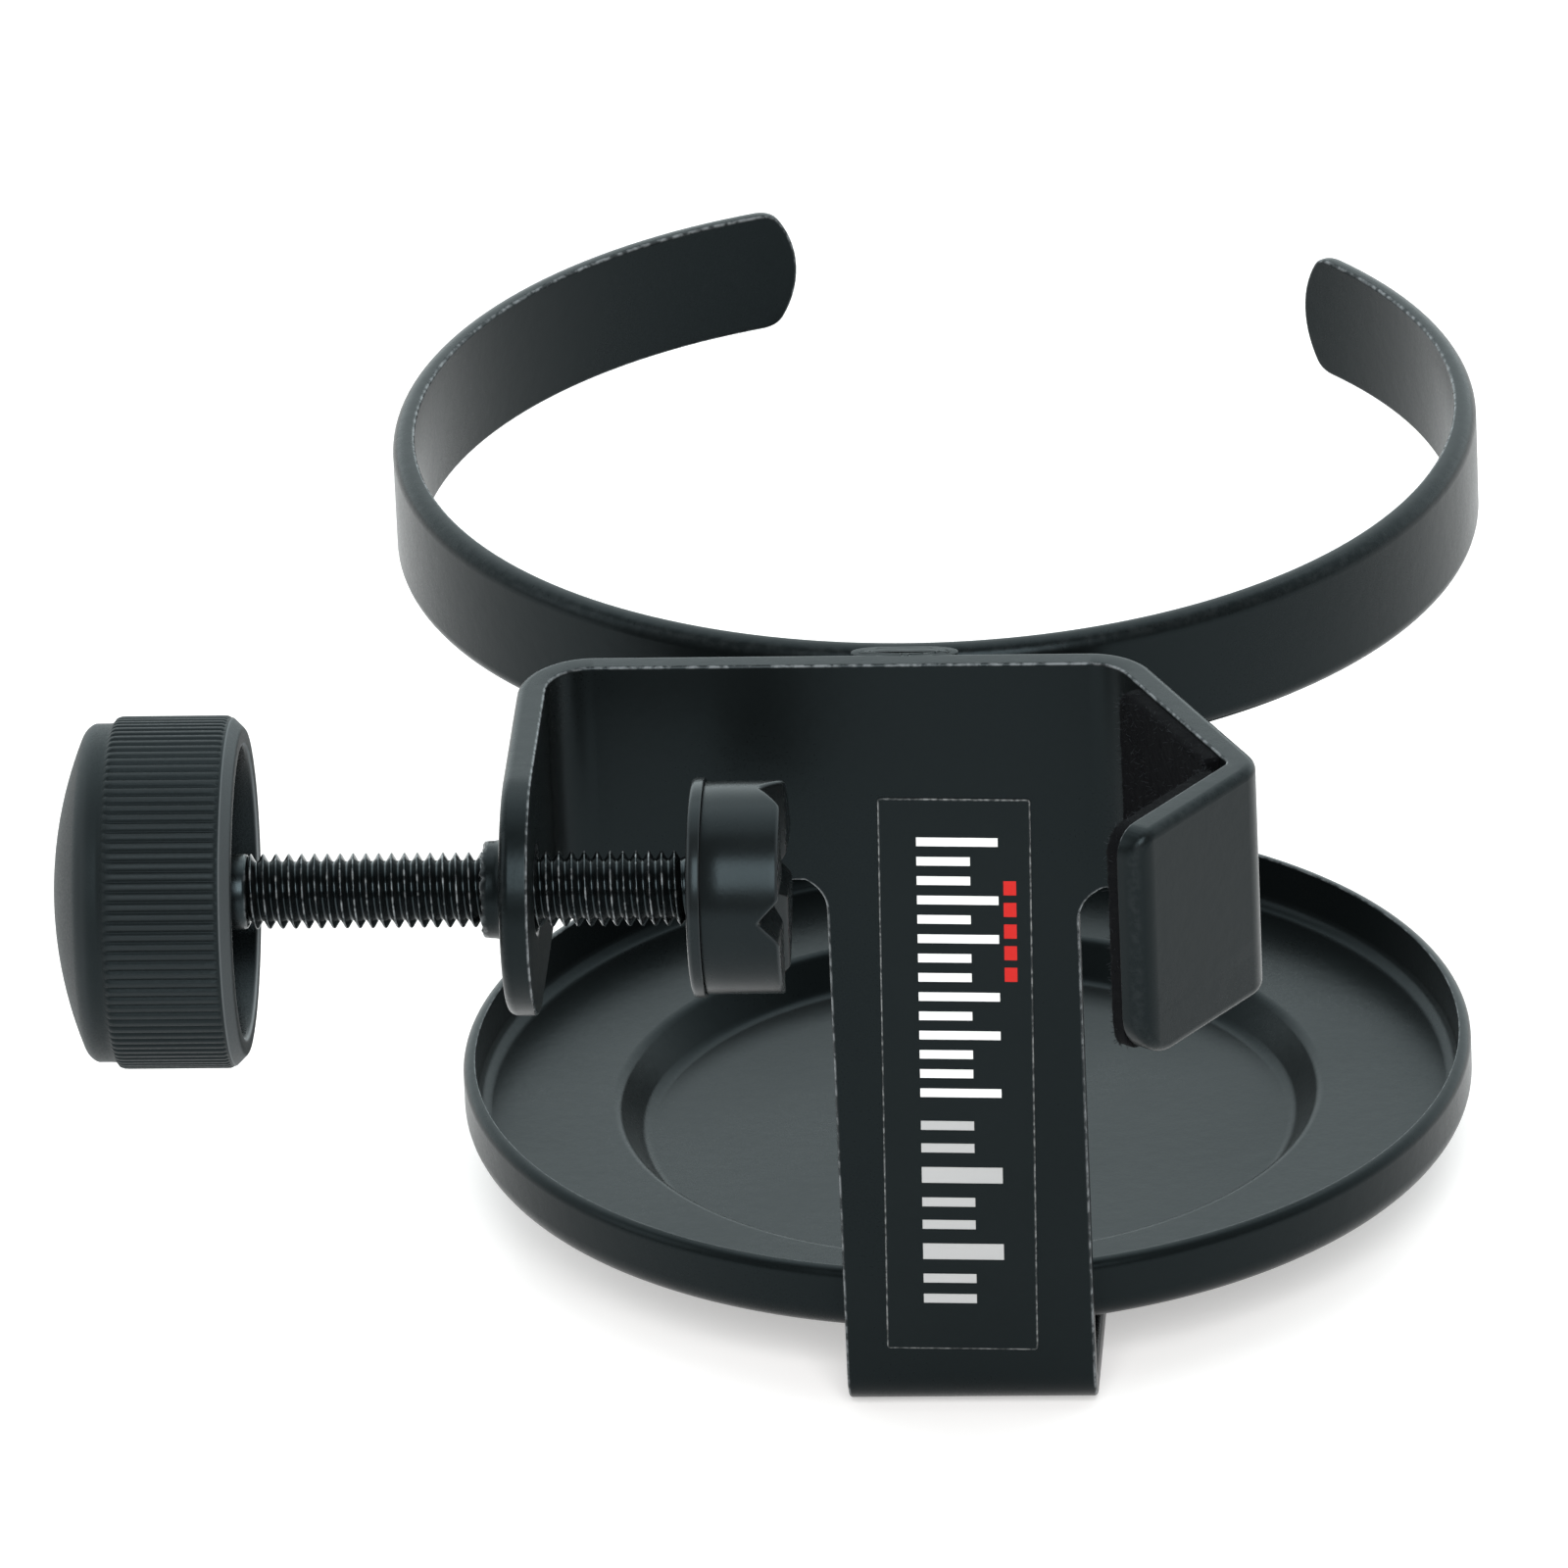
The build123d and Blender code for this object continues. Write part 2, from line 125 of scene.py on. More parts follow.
def add_node(tree, kind, values=None, **settings):
    """A shader node; values maps input names or indices to numbers, colours or sockets."""
    node = tree.nodes.new(kind)
    for key, value in settings.items():
        setattr(node, key, value)
    for key, value in (values or {}).items():
        socket = node.inputs[key]
        if isinstance(value, bpy.types.NodeSocket):
            tree.links.new(value, socket)
        else:
            socket.default_value = value
    return node


def new_material(name):
    made = bpy.data.materials.new(name)
    made.use_nodes = True
    made.node_tree.nodes.clear()
    return made, made.node_tree


def object_point(tree):
    return add_node(tree, "ShaderNodeTexCoord").outputs["Object"]


def noise_at(tree, point, per_metre, detail=2.0, rough=0.5):
    node = add_node(tree, "ShaderNodeTexNoise",
                    {"Vector": point, "Scale": per_metre, "Detail": detail, "Roughness": rough})
    return node.outputs["Fac"]


def math_node(tree, operation, *values, clamp=False):
    node = add_node(tree, "ShaderNodeMath", operation=operation, use_clamp=clamp)
    for socket, value in zip(node.inputs, values):
        if isinstance(value, bpy.types.NodeSocket):
            tree.links.new(value, socket)
        else:
            socket.default_value = value
    return node.outputs[0]


def remap(tree, value, low, high, to_low, to_high):
    return add_node(tree, "ShaderNodeMapRange",
                    {"Value": value, "From Min": low, "From Max": high,
                     "To Min": to_low, "To Max": to_high}).outputs["Result"]


def mix_colour(tree, factor, first, second):
    node = add_node(tree, "ShaderNodeMix", data_type="RGBA")
    sockets = {s.name: s for s in node.inputs if s.type == "RGBA" and s.enabled}
    for name, value in (("A", first), ("B", second)):
        if isinstance(value, bpy.types.NodeSocket):
            tree.links.new(value, sockets[name])
        else:
            sockets[name].default_value = value
    if isinstance(factor, bpy.types.NodeSocket):
        tree.links.new(factor, node.inputs[0])
    else:
        node.inputs[0].default_value = factor
    return [s for s in node.outputs if s.type == "RGBA" and s.enabled][0]


def rim_factor(tree):
    """How far a point lies on a rounded edge, from 0 on flats to 1, stored with the mesh."""
    return add_node(tree, "ShaderNodeAttribute", attribute_name="rim").outputs["Fac"]


def bump(tree, height, distance, strength=1.0, normal=None):
    values = {"Height": height, "Distance": distance, "Strength": strength}
    if normal is not None:
        values["Normal"] = normal
    return add_node(tree, "ShaderNodeBump", values).outputs["Normal"]


def surface(tree, colour, roughness, normal, **fixed):
    shader = add_node(tree, "ShaderNodeBsdfPrincipled",
                      {"Base Color": colour, "Roughness": roughness, "Normal": normal})
    for name, value in fixed.items():
        shader.inputs[name.replace("_", " ")].default_value = value
    add_node(tree, "ShaderNodeOutputMaterial", {"Surface": shader.outputs[0]})
    return shader


def grey(value, green=1.0, blue=1.0):
    return (value, value * green, value * blue, 1.0)


COAT_TINT = (0.76, 1.0, 1.09, 1.0)


def powder_coat():
    """Satin black powder coat: slight orange peel, finer grain, glossier over edges, and painted lighter
    over edges: partly a thinner, rubbed coat, partly a painted highlight.
    """
    made, tree = new_material("satin_black_powder_coat")
    point = object_point(tree)
    peel = noise_at(tree, point, 700, 2.0)
    grain = noise_at(tree, point, 4200, 2.0)
    cloud = noise_at(tree, point, 60, 3.0)
    edge = rim_factor(tree)
    shade = mix_colour(tree, cloud, grey(0.0030, 1.3, 1.35), grey(0.0046, 1.3, 1.35))
    # Edges painted lighter in broken specks: partly rubbed-thin coat, partly a painted highlight along the
    # edge lines.
    speck = remap(tree, noise_at(tree, point, 1500, 3.0), 0.42, 0.62, 0.15, 1.0)
    wear_and_sheen = math_node(tree, "MULTIPLY", math_node(tree, "POWER", edge, 2.0), speck)
    colour = mix_colour(tree, wear_and_sheen, shade, grey(0.17, 1.06, 1.10))
    rough = remap(tree, cloud, 0.25, 0.75, 0.27, 0.34)
    rough = math_node(tree, "ADD", rough, remap(tree, grain, 0.3, 0.7, -0.03, 0.03))
    rough = math_node(tree, "SUBTRACT", rough, math_node(tree, "MULTIPLY", edge, 0.10))
    normal = bump(tree, peel, 0.000035, 0.5)
    normal = bump(tree, grain, 0.000010, 0.35, normal)
    surface(tree, colour, rough, normal, Specular_IOR_Level=0.12, Specular_Tint=COAT_TINT)
    return made


def screw_black():
    """Glossy black finish on steel threads, with the crests painted lighter: bare steel where rubbed, and a
    painted glint.
    """
    made, tree = new_material("glossy_black_screw")
    point = object_point(tree)
    cloud = noise_at(tree, point, 900, 3.0)
    fine = noise_at(tree, point, 6000, 2.0)
    edge = rim_factor(tree)
    # Crests painted lighter: bare steel rubbed through, plus a painted highlight along the thread crests.
    speck = remap(tree, noise_at(tree, point, 1500, 3.0), 0.48, 0.68, 0.05, 1.0)
    wear_and_sheen = math_node(tree, "MULTIPLY", math_node(tree, "POWER", edge, 2.0),
                     math_node(tree, "MULTIPLY", speck, 0.6))
    colour = mix_colour(tree, wear_and_sheen, grey(0.0025, 1.2, 1.25), grey(0.30, 1.05, 1.08))
    along = add_node(tree, "ShaderNodeSeparateXYZ", {0: point}).outputs["X"]
    shank = remap(tree, along, (THREAD_X0 + 0.1) * MM, (THREAD_X0 - 0.1) * MM, 0.0, 1.0)
    rough = remap(tree, cloud, 0.3, 0.7, 0.12, 0.24)
    rough = math_node(tree, "ADD", rough, math_node(tree, "MULTIPLY", shank, 0.1))
    normal = bump(tree, fine, 0.000006, 0.4)
    surface(tree, colour, rough, normal, Specular_IOR_Level=0.32, Specular_Tint=COAT_TINT)
    return made


def knob_plastic():
    """Matt moulded plastic with a fine spark-eroded grain."""
    made, tree = new_material("matt_black_plastic")
    point = object_point(tree)
    grain = noise_at(tree, point, 5200, 3.0, 0.6)
    cloud = noise_at(tree, point, 90, 3.0)
    edge = rim_factor(tree)
    base = mix_colour(tree, cloud, grey(0.0042, 1.25, 1.3), grey(0.0060, 1.25, 1.3))
    # Rims, shoulder and rib crests painted lighter: a painted highlight.
    painted_edge_highlight = math_node(tree, "MULTIPLY", math_node(tree, "POWER", edge, 3.0), 0.9)
    colour = mix_colour(tree, painted_edge_highlight, base, grey(0.20, 1.08, 1.12))
    # Inside the knob's cavity the colour is painted near-black: painted shade where little light reaches.
    # Its roughness is lowered there too.
    split = add_node(tree, "ShaderNodeSeparateXYZ", {0: point})
    aside = math_node(tree, "SUBTRACT", split.outputs["Y"], SCREW_Y * MM)
    above = math_node(tree, "SUBTRACT", split.outputs["Z"], SCREW_Z * MM)
    radius = math_node(tree, "SQRT", math_node(tree, "ADD", math_node(tree, "MULTIPLY", aside, aside),
                                               math_node(tree, "MULTIPLY", above, above)))
    within = remap(tree, radius, (HOLLOW_R + 0.1) * MM, HOLLOW_R * MM, 0.0, 1.0)
    inside = remap(tree, split.outputs["X"], (HOLLOW_FLOOR_X - 0.5) * MM, HOLLOW_FLOOR_X * MM, 0.0, 1.0)
    hollow_painted_shade = math_node(tree, "MULTIPLY", within, inside)
    colour = mix_colour(tree, hollow_painted_shade, colour, grey(0.0016, 1.1, 1.15))
    rough = remap(tree, grain, 0.25, 0.75, 0.46, 0.62)
    rough = math_node(tree, "SUBTRACT", rough, math_node(tree, "MULTIPLY", hollow_painted_shade, 0.26))
    normal = bump(tree, grain, 0.000022, 0.55)
    surface(tree, colour, rough, normal, Specular_IOR_Level=0.16, Specular_Tint=COAT_TINT)
    return made


def moulded_rubber(name, base, rough_low, rough_high):
    made, tree = new_material(name)
    point = object_point(tree)
    cloud = noise_at(tree, point, 260, 3.0)
    fine = noise_at(tree, point, 3600, 2.0)
    colour = mix_colour(tree, cloud, grey(base, 1.2, 1.25), grey(base * 1.5, 1.2, 1.25))
    # Edges painted lighter: partly rubbed moulding, partly a painted highlight on the rims and groove edges.
    wear_and_sheen = math_node(tree, "MULTIPLY", rim_factor(tree), 0.6)
    colour = mix_colour(tree, wear_and_sheen, colour, grey(0.035, 1.1, 1.15))
    rough = remap(tree, cloud, 0.3, 0.7, rough_low, rough_high)
    normal = bump(tree, cloud, 0.000012, 0.4)
    normal = bump(tree, fine, 0.000010, 0.5, normal)
    surface(tree, colour, rough, normal, Specular_IOR_Level=0.14, Specular_Tint=COAT_TINT)
    return made


def felt():
    """Needled felt: matted fibres, a dark violet grey."""
    made, tree = new_material("needled_felt")
    point = object_point(tree)
    swirl = add_node(tree, "ShaderNodeVectorMath",
                     {0: point, 1: add_node(tree, "ShaderNodeTexNoise",
                                            {"Vector": point, "Scale": 1800.0}).outputs["Color"]},
                     operation="ADD").outputs[0]
    fibre = noise_at(tree, swirl, 2600, 4.0, 0.7)
    clump = noise_at(tree, point, 900, 3.0)
    colour = mix_colour(tree, remap(tree, fibre, 0.35, 0.65, 0.0, 1.0),
                        (0.0016, 0.0018, 0.0023, 1), (0.0055, 0.0060, 0.0074, 1))
    # Loose fibres are painted lighter, more so towards their tips: a painted sheen.
    colour = mix_colour(tree, rim_factor(tree), colour, (0.075, 0.083, 0.092, 1))
    rough = remap(tree, clump, 0.3, 0.7, 0.86, 0.98)
    normal = bump(tree, fibre, 0.00012, 0.9)
    surface(tree, colour, rough, normal, Specular_IOR_Level=0.08)
    return made


# ---------------------------------------------------------------- mesh helpers

def rounded(corners, step_deg=12.0):
    """Closed outline of complex points from (point, radius) corners."""
    out = []
    for k, (corner, radius) in enumerate(corners):
        if radius <= 0:
            out.append(corner)
            continue
        back = corners[k - 1][0] - corner
        ahead = corners[(k + 1) % len(corners)][0] - corner
        back /= abs(back)
        ahead /= abs(ahead)
        half = abs(cmath.phase(ahead / back)) / 2
        middle = (back + ahead) / abs(back + ahead)
        centre = corner + middle * radius / math.sin(half)
        start = corner + back * radius / math.tan(half) - centre
        stop = corner + ahead * radius / math.tan(half) - centre
        sweep = cmath.phase(stop / start)
        count = max(2, math.ceil(abs(math.degrees(sweep)) / step_deg))
        out += [centre + start * cmath.exp(1j * sweep * i / count) for i in range(count + 1)]
    return out


def arc(centre, radius, start_deg, stop_deg, count):
    return [centre + radius * cmath.exp(1j * math.radians(start_deg + (stop_deg - start_deg) * i / count))
            for i in range(count + 1)]


def inset(loop, distance):
    """A counter-clockwise outline moved inwards."""
    out = []
    for k, point in enumerate(loop):
        before = point - loop[k - 1]
        after = loop[(k + 1) % len(loop)] - point
        n0 = 1j * before / abs(before)
        n1 = 1j * after / abs(after)
        out.append(point + distance * (n0 + n1) / (1 + (n0 * n1.conjugate()).real))
    return out


def rim_rings(thickness, high_r, low_r, steps=4):
    """(inset, level, edge mark) rings round a sheet's edge, from its high face to its low face; the edge
    mark paints the edge lighter, for rubbed paint plus a painted highlight.
    """
    rings = []
    for k in range(steps + 1):
        a = math.pi / 2 * k / steps
        level = thickness - high_r * (1 - math.cos(a))
        rings.append((high_r * (1 - math.sin(a)), level, 0.2 * math.sin(2 * a)))
    for k in range(steps + 1):
        a = math.pi / 2 * k / steps
        rings.append((low_r * (1 - math.cos(a)), low_r * (1 - math.sin(a)), math.sin(2 * a)))
    return rings


def flat_sheet(outline, rings, holes=()):
    """A flat closed sheet as a bmesh; each hole is (centre, [(radius, level, edge mark), ...], points)."""
    mesh = bmesh.new()
    # Layer of edge marks that lighten the colour: rubbed paint plus a painted highlight.
    wear_and_sheen_layer = mesh.verts.layers.float.new("rim")

    def loop_at(points, level, wear_and_sheen):
        made = []
        for p in points:
            vert = mesh.verts.new((p.real, p.imag, level))
            vert[wear_and_sheen_layer] = wear_and_sheen
            made.append(vert)
        return made

    walls = [[loop_at(inset(outline, d), level, wear_and_sheen) for d, level, wear_and_sheen in rings]]
    for centre, hole_rings, count in holes:
        unit = [cmath.exp(-1j * TURN * k / count) for k in range(count)]
        walls.append([loop_at([centre + r * p for p in unit], level, wear_and_sheen)
                      for r, level, wear_and_sheen in hole_rings])
    for wall in walls:
        for upper, lower in zip(wall, wall[1:]):
            for k in range(len(upper)):
                mesh.faces.new((upper[k - 1], upper[k], lower[k], lower[k - 1]))
    for side in (0, -1):
        loops = [wall[side] for wall in walls]
        flat = [v for loop in loops for v in loop]
        for triangle in geometry.tessellate_polygon([[v.co.copy() for v in loop] for loop in loops]):
            mesh.faces.new([flat[i] for i in triangle])
    bmesh.ops.recalc_face_normals(mesh, faces=mesh.faces)
    return mesh


def cut_across(mesh, axis, values):
    """Extra edge lines across a flat sheet, so that it can bend there."""
    normal = Vector((0, 0, 0))
    normal[axis] = 1
    for value in values:
        place = normal * value
        bmesh.ops.bisect_plane(mesh, geom=mesh.verts[:] + mesh.edges[:] + mesh.faces[:],
                               dist=1e-5, plane_co=place, plane_no=normal)


def join_rings(mesh, rings, closed=False):
    """Faces between neighbouring rings of verts; a ring of one vert is a centre."""
    pairs = list(zip(rings, rings[1:]))
    if closed:
        pairs.append((rings[-1], rings[0]))
    for first, second in pairs:
        a, b = len(first), len(second)
        for k in range(max(a, b)):
            quad = (first[(k - 1) % a], first[k % a], second[k % b], second[(k - 1) % b])
            corners = list(dict.fromkeys(quad))
            if len(corners) > 2:
                mesh.faces.new(corners)


def finish_piece(mesh, name, body, nodes, material, weighted=True):
    """Scale a bmesh to metres, link it, give it its material, tie it to its body and hide the CAD nodes it
    replaces.
    """
    bmesh.ops.recalc_face_normals(mesh, faces=mesh.faces)
    for vert in mesh.verts:
        vert.co *= MM
    data = bpy.data.meshes.new(name)
    mesh.to_mesh(data)
    mesh.free()
    data.materials.append(material)
    data.polygons.foreach_set("use_smooth", [True] * len(data.polygons))
    piece = bpy.data.objects.new(name, data)
    bpy.context.scene.collection.objects.link(piece)
    if weighted:
        modifier = piece.modifiers.new("weighted", "WEIGHTED_NORMAL")
        modifier.weight = 60
        modifier.keep_sharp = False
    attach(piece, body)
    if nodes:
        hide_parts(*nodes)
    return piece


class BendPath:
    """Plan line of a bent sheet's inner face; every bend turns clockwise seen from above."""

    def __init__(self, start, heading, thickness):
        self.parts = []
        self.point = start
        self.heading = heading
        self.length = 0.0
        self.thickness = thickness

    def straight(self, length):
        self.parts.append(("line", self.length, length, self.point, self.heading, 0.0))
        self.point += self.heading * length
        self.length += length

    def bend(self, angle, radius):
        along = (radius + self.thickness / 2) * angle
        centre = self.point - 1j * self.heading * radius
        self.parts.append(("bend", self.length, along, centre, self.heading, angle))
        self.heading *= cmath.exp(-1j * angle)
        self.point = centre + 1j * self.heading * radius
        self.length += along
        self.radius = radius

    def place(self, u, level):
        """Plan position of the point u along the sheet, level above its inner face."""
        part = self.parts[0]
        for candidate in self.parts:
            if u >= candidate[1] - 1e-9:
                part = candidate
        kind, start, length, origin, heading, angle = part
        if kind == "line":
            return origin + heading * (u - start) + 1j * heading * level
        radius = length / angle - self.thickness / 2
        turned = heading * cmath.exp(-1j * angle * (u - start) / length)
        return origin + 1j * turned * (radius + level)

    def bend_cuts(self, step_deg=5.0):
        cuts = []
        for kind, start, length, _, _, angle in self.parts:
            if kind == "bend":
                count = math.ceil(math.degrees(angle) / step_deg)
                cuts += [start + length * k / count for k in range(count + 1)]
        return cuts


def jaw_corner(turn, radius):
    """Length that a bend takes from each leg's corner."""
    return radius * math.tan(turn / 2)


# ---------------------------------------------------------------- bracket

FOLD_TURN = math.pi / 2 - JAW_ARM
VERTEX_TURN = math.pi - (math.pi / 2 - JAW_ARM) - (math.pi / 2 - JAW_LIP)
jaw_fold = complex(JAW_FOLD_X, FRONT_Y)
jaw_vertex = jaw_fold + JAW_ARM_L * complex(math.sin(JAW_ARM), -math.cos(JAW_ARM))


def bracket_path():
    path = BendPath(complex(FLANGE_IN_X, NOSE_Y), 1j, SHEET)
    path.straight(FRONT_Y - BEND_IN - NOSE_Y)
    path.bend(math.pi / 2, BEND_IN)
    fold_leg = jaw_corner(FOLD_TURN, BEND_IN)
    vertex_leg = jaw_corner(VERTEX_TURN, VERTEX_BEND_IN)
    path.plate_u = path.length - (FLANGE_IN_X + BEND_IN)
    path.straight(JAW_FOLD_X - fold_leg - FLANGE_IN_X - BEND_IN)
    path.bend(FOLD_TURN, BEND_IN)
    path.straight(JAW_ARM_L - fold_leg - vertex_leg)
    path.bend(VERTEX_TURN, VERTEX_BEND_IN)
    path.straight(JAW_LIP_L - vertex_leg)
    return path


def make_bracket(material):
    path = bracket_path()
    outer_bend = FOOT_BEND_IN + SHEET
    bend_mid = FOOT_BEND_IN + SHEET / 2
    quarter = bend_mid * math.pi / 2
    foot_run = bracket_high.y - (FRONT_Y + outer_bend)
    v_end = outer_bend - quarter - foot_run
    u0 = path.plate_u + TONGUE_X0
    u1 = path.plate_u + TONGUE_X1
    end = path.length
    corners = [
        (complex(u0, STRIP_Z), TONGUE_FILLET),
        (complex(u0, v_end), FOOT_END_R),
        (complex(u1, v_end), FOOT_END_R),
        (complex(u1, STRIP_Z), TONGUE_FILLET),
        (complex(end, STRIP_Z), JAW_LIP_R_LOW),
        (complex(end, TOP_Z), JAW_LIP_R_TOP),
        (complex(NOSE_R, TOP_Z), 0),
    ]
    outline = rounded(corners, 9.0) + arc(complex(NOSE_R, SCREW_Z), NOSE_R, 90, 270, 28)[1:]
    tip = SHEET + COLLAR_L
    collar = [
        (5.0, SHEET, 0), (4.7, SHEET + 0.03, 0), (4.3, SHEET + 0.13, 0.2), (4.02, SHEET + 0.36, 0.2),
        (3.86, SHEET + 0.65, 0), (COLLAR_R, SHEET + 0.95, 0), (COLLAR_R - 0.02, SHEET + 1.35, 0),
        (COLLAR_R - 0.05, tip - 0.22, 0.6), (COLLAR_R - 0.16, tip - 0.08, 1),
        (COLLAR_R - 0.36, tip - 0.02, 1),
        (HOLE_R + 0.22, tip - 0.10, 1), (HOLE_R + 0.07, tip - 0.32, 0.6), (HOLE_R, tip - 0.7, 0),
        (HOLE_R, 0.8, 0), (HOLE_R + 0.07, 0.5, 0), (HOLE_R + 0.24, 0.24, 0.4), (HOLE_R + 0.5, 0.07, 0.4),
        (HOLE_R + 0.8, 0, 0),
    ]
    mesh = flat_sheet(outline, rim_rings(SHEET, 0.8, 0.26, 6), [(complex(NOSE_R, SCREW_Z), collar, 72)])
    cut_across(mesh, 0, path.bend_cuts() + [end - LIP_ROLL * k / 8 for k in range(1, 9)])
    cut_across(mesh, 1, [outer_bend - quarter * k / 14 for k in range(15)])
    hub = Vector((NOSE_R, SCREW_Z, 0))
    for vert in mesh.verts:
        u, v, level = vert.co
        if level > tip - 0.5 and (Vector((u, v, 0)) - hub).length < COLLAR_R + 0.1:
            burr = noise.noise(Vector((u * 1.7, v * 1.7, 4.0)))
            fine = noise.noise(Vector((u * 5.0, v * 5.0, 9.0)))
            level -= max(0.0, 0.12 + 0.5 * burr + 0.25 * fine) * (level - tip + 0.5) / 0.5
            vert.co.z = level
        if u > end - LIP_ROLL:
            share = min(1.0, (u - end + LIP_ROLL) / LIP_ROLL)
            level *= 1 - LIP_ROLL_DROP / SHEET * (1 - math.sqrt(1 - share * share))
        plan = path.place(u, level)
        x, y, z = plan.real, plan.imag, v
        if v < outer_bend:
            depth = outer_bend - v
            swing = min(depth / bend_mid, math.pi / 2)
            radius = outer_bend - level
            y = FRONT_Y + outer_bend - radius * math.cos(swing) + max(0.0, depth - quarter)
            z = outer_bend - radius * math.sin(swing)
        vert.co = Vector((x, y, z))
    return finish_piece(mesh, "bracket", "bracket", ["clamp_bracket"], material)


# ---------------------------------------------------------------- ring and tray

def make_ring(material):
    mid_r = RING_R_OUT - RING_SHEET / 2
    sweep = math.radians(RING_STOP_DEG - RING_START_DEG)
    length = mid_r * sweep
    sag = RING_END_R - math.sqrt(RING_END_R**2 - (RING_H / 2)**2)
    half_angle = math.degrees(math.asin(RING_H / 2 / RING_END_R))
    trim = 7.0
    right = arc(complex(length - RING_END_R, RING_H / 2), RING_END_R,
                -half_angle + trim, half_angle - trim, 14)
    left = arc(complex(RING_END_R, RING_H / 2), RING_END_R,
               180 - half_angle + trim, 180 + half_angle - trim, 14)
    blend = 1.3
    loop = []
    for corner, ahead, behind in (
        (complex(length - sag, 0), right[0], complex(length - sag - blend, 0)),
        (complex(length - sag, RING_H), complex(length - sag - blend, RING_H), right[-1]),
        (complex(sag, RING_H), left[0], complex(sag + blend, RING_H)),
        (complex(sag, 0), complex(sag + blend, 0), left[-1]),
    ):
        for k in range(6):
            t = k / 6
            loop.append((1 - t)**2 * behind + 2 * t * (1 - t) * corner + t * t * ahead)
        if ahead == right[0]:
            loop += right
        elif ahead == left[0]:
            loop += left
        else:
            loop.append(ahead)
    outline = [p for k, p in enumerate(loop) if abs(p - loop[k - 1]) > 1e-6]
    mesh = flat_sheet(outline, rim_rings(RING_SHEET, 1.25, 0.30, 8))
    count = round(math.degrees(sweep) / 2)
    cut_across(mesh, 0, [length * k / count for k in range(1, count)])
    for vert in mesh.verts:
        u, v, level = vert.co
        turn = math.radians(RING_START_DEG) + u / mid_r
        radius = RING_R_OUT - RING_SHEET + level
        vert.co = Vector((RING_X + radius * math.cos(turn), radius * math.sin(turn), TOP_Z - RING_H + v))
    return finish_piece(mesh, "cup_hoop", "bracket", ["cup_ring"], material)


def turned(mesh, profile, count, centre, axis, closed=True):
    """Rings of (along, radius, edge mark) turned about an axis, as faces of a bmesh."""
    wear_and_sheen_layer = mesh.verts.layers.float.get("rim") or mesh.verts.layers.float.new("rim")
    rings = []
    for along, radius, wear_and_sheen in profile:
        made = []
        for k in range(count if radius > 1e-6 else 1):
            turn = TURN * k / count
            a, b = radius * math.cos(turn), radius * math.sin(turn)
            offset = (along, a, b) if axis == "X" else (a, b, along)
            vert = mesh.verts.new(Vector(centre) + Vector(offset))
            vert[wear_and_sheen_layer] = wear_and_sheen
            made.append(vert)
        rings.append(made)
    join_rings(mesh, rings, closed)


def profile_points(corners, step_deg=10.0):
    """(along, radius, edge mark) points of an outline given as (along, radius, fillet) corners."""
    out = []
    for k, (along, radius, fillet) in enumerate(corners):
        spots = rounded([(complex(a, r), f if i == k else 0) for i, (a, r, f) in enumerate(corners)],
                        step_deg)
        count = len(spots) - len(corners) + 1
        start = k
        # Small fillets get an edge mark: rubbed paint plus a painted highlight.
        wear_and_sheen = 0.7 if 0 < fillet < 0.8 else 0.0
        for i in range(count):
            p = spots[start + i]
            middle = 0 < i < count - 1
            out.append((p.real, p.imag, wear_and_sheen if middle else 0.0))
    return out


TRAY_R = (tray_high.x - tray_low.x) / 2
TRAY_SHEET = 1.0
TRAY_LEDGE_Z = 6.3
RECESS_TOP_R = 28.4
RECESS_FLOOR_R = 26.4


def make_tray(material):
    t = TRAY_SHEET
    top = tray_high.z
    slope = math.atan2(TRAY_LEDGE_Z - SHEET - t, RECESS_TOP_R - RECESS_FLOOR_R)
    shift = t * math.tan(slope / 2)
    corners = [
        (SHEET + t, RECESS_FLOOR_R, 1.2),
        (TRAY_LEDGE_Z, RECESS_TOP_R, 1.0),
        (TRAY_LEDGE_Z, TRAY_R - t, 1.2),
        (top, TRAY_R - t, 0.12),
        (top, TRAY_R, 0.86),
        (TRAY_LEDGE_Z - t, TRAY_R, 1.2 + t),
        (TRAY_LEDGE_Z - t, RECESS_TOP_R + shift, 1.0 + t),
        (SHEET, RECESS_FLOOR_R + shift, 1.2 + t),
    ]
    ends = [(SHEET, 0.0, 0), (SHEET + t, 0.0, 0)]
    profile = profile_points(corners + ends)
    profile = [(SHEET + t, 0.0, 0)] + profile[:-2] + [(SHEET, 0.0, 0)]
    mesh = bmesh.new()
    centre = ((tray_low.x + tray_high.x) / 2, (tray_low.y + tray_high.y) / 2, 0)
    turned(mesh, profile, 256, centre, "Z", closed=False)
    return finish_piece(mesh, "saucer", "bracket", ["cup_tray"], material)


# ---------------------------------------------------------------- clamp screw

PITCH = 1.0
THREAD_R = 2.93
ROOT_R = 2.32
THREAD_X0 = -50.2
THREAD_X1 = -15.75
TIP_R = 1.8
HEAD_H = 4.0
RIVET_R = 2.8
AXIS = (0.0, SCREW_Y, SCREW_Z)


def thread_rings():
    """(share of a pitch, radius, edge mark) points of one thread: rounded root, flanks and crest."""
    half = [(0.0, ROOT_R, 0), (0.06, ROOT_R + 0.004, 0), (0.105, ROOT_R + 0.045, 0),
            (0.405, THREAD_R - 0.065, 0.2), (0.445, THREAD_R - 0.014, 0.8), (0.478, THREAD_R, 1)]
    return half + [(1 - s, r, w) for s, r, w in reversed(half[1:])]


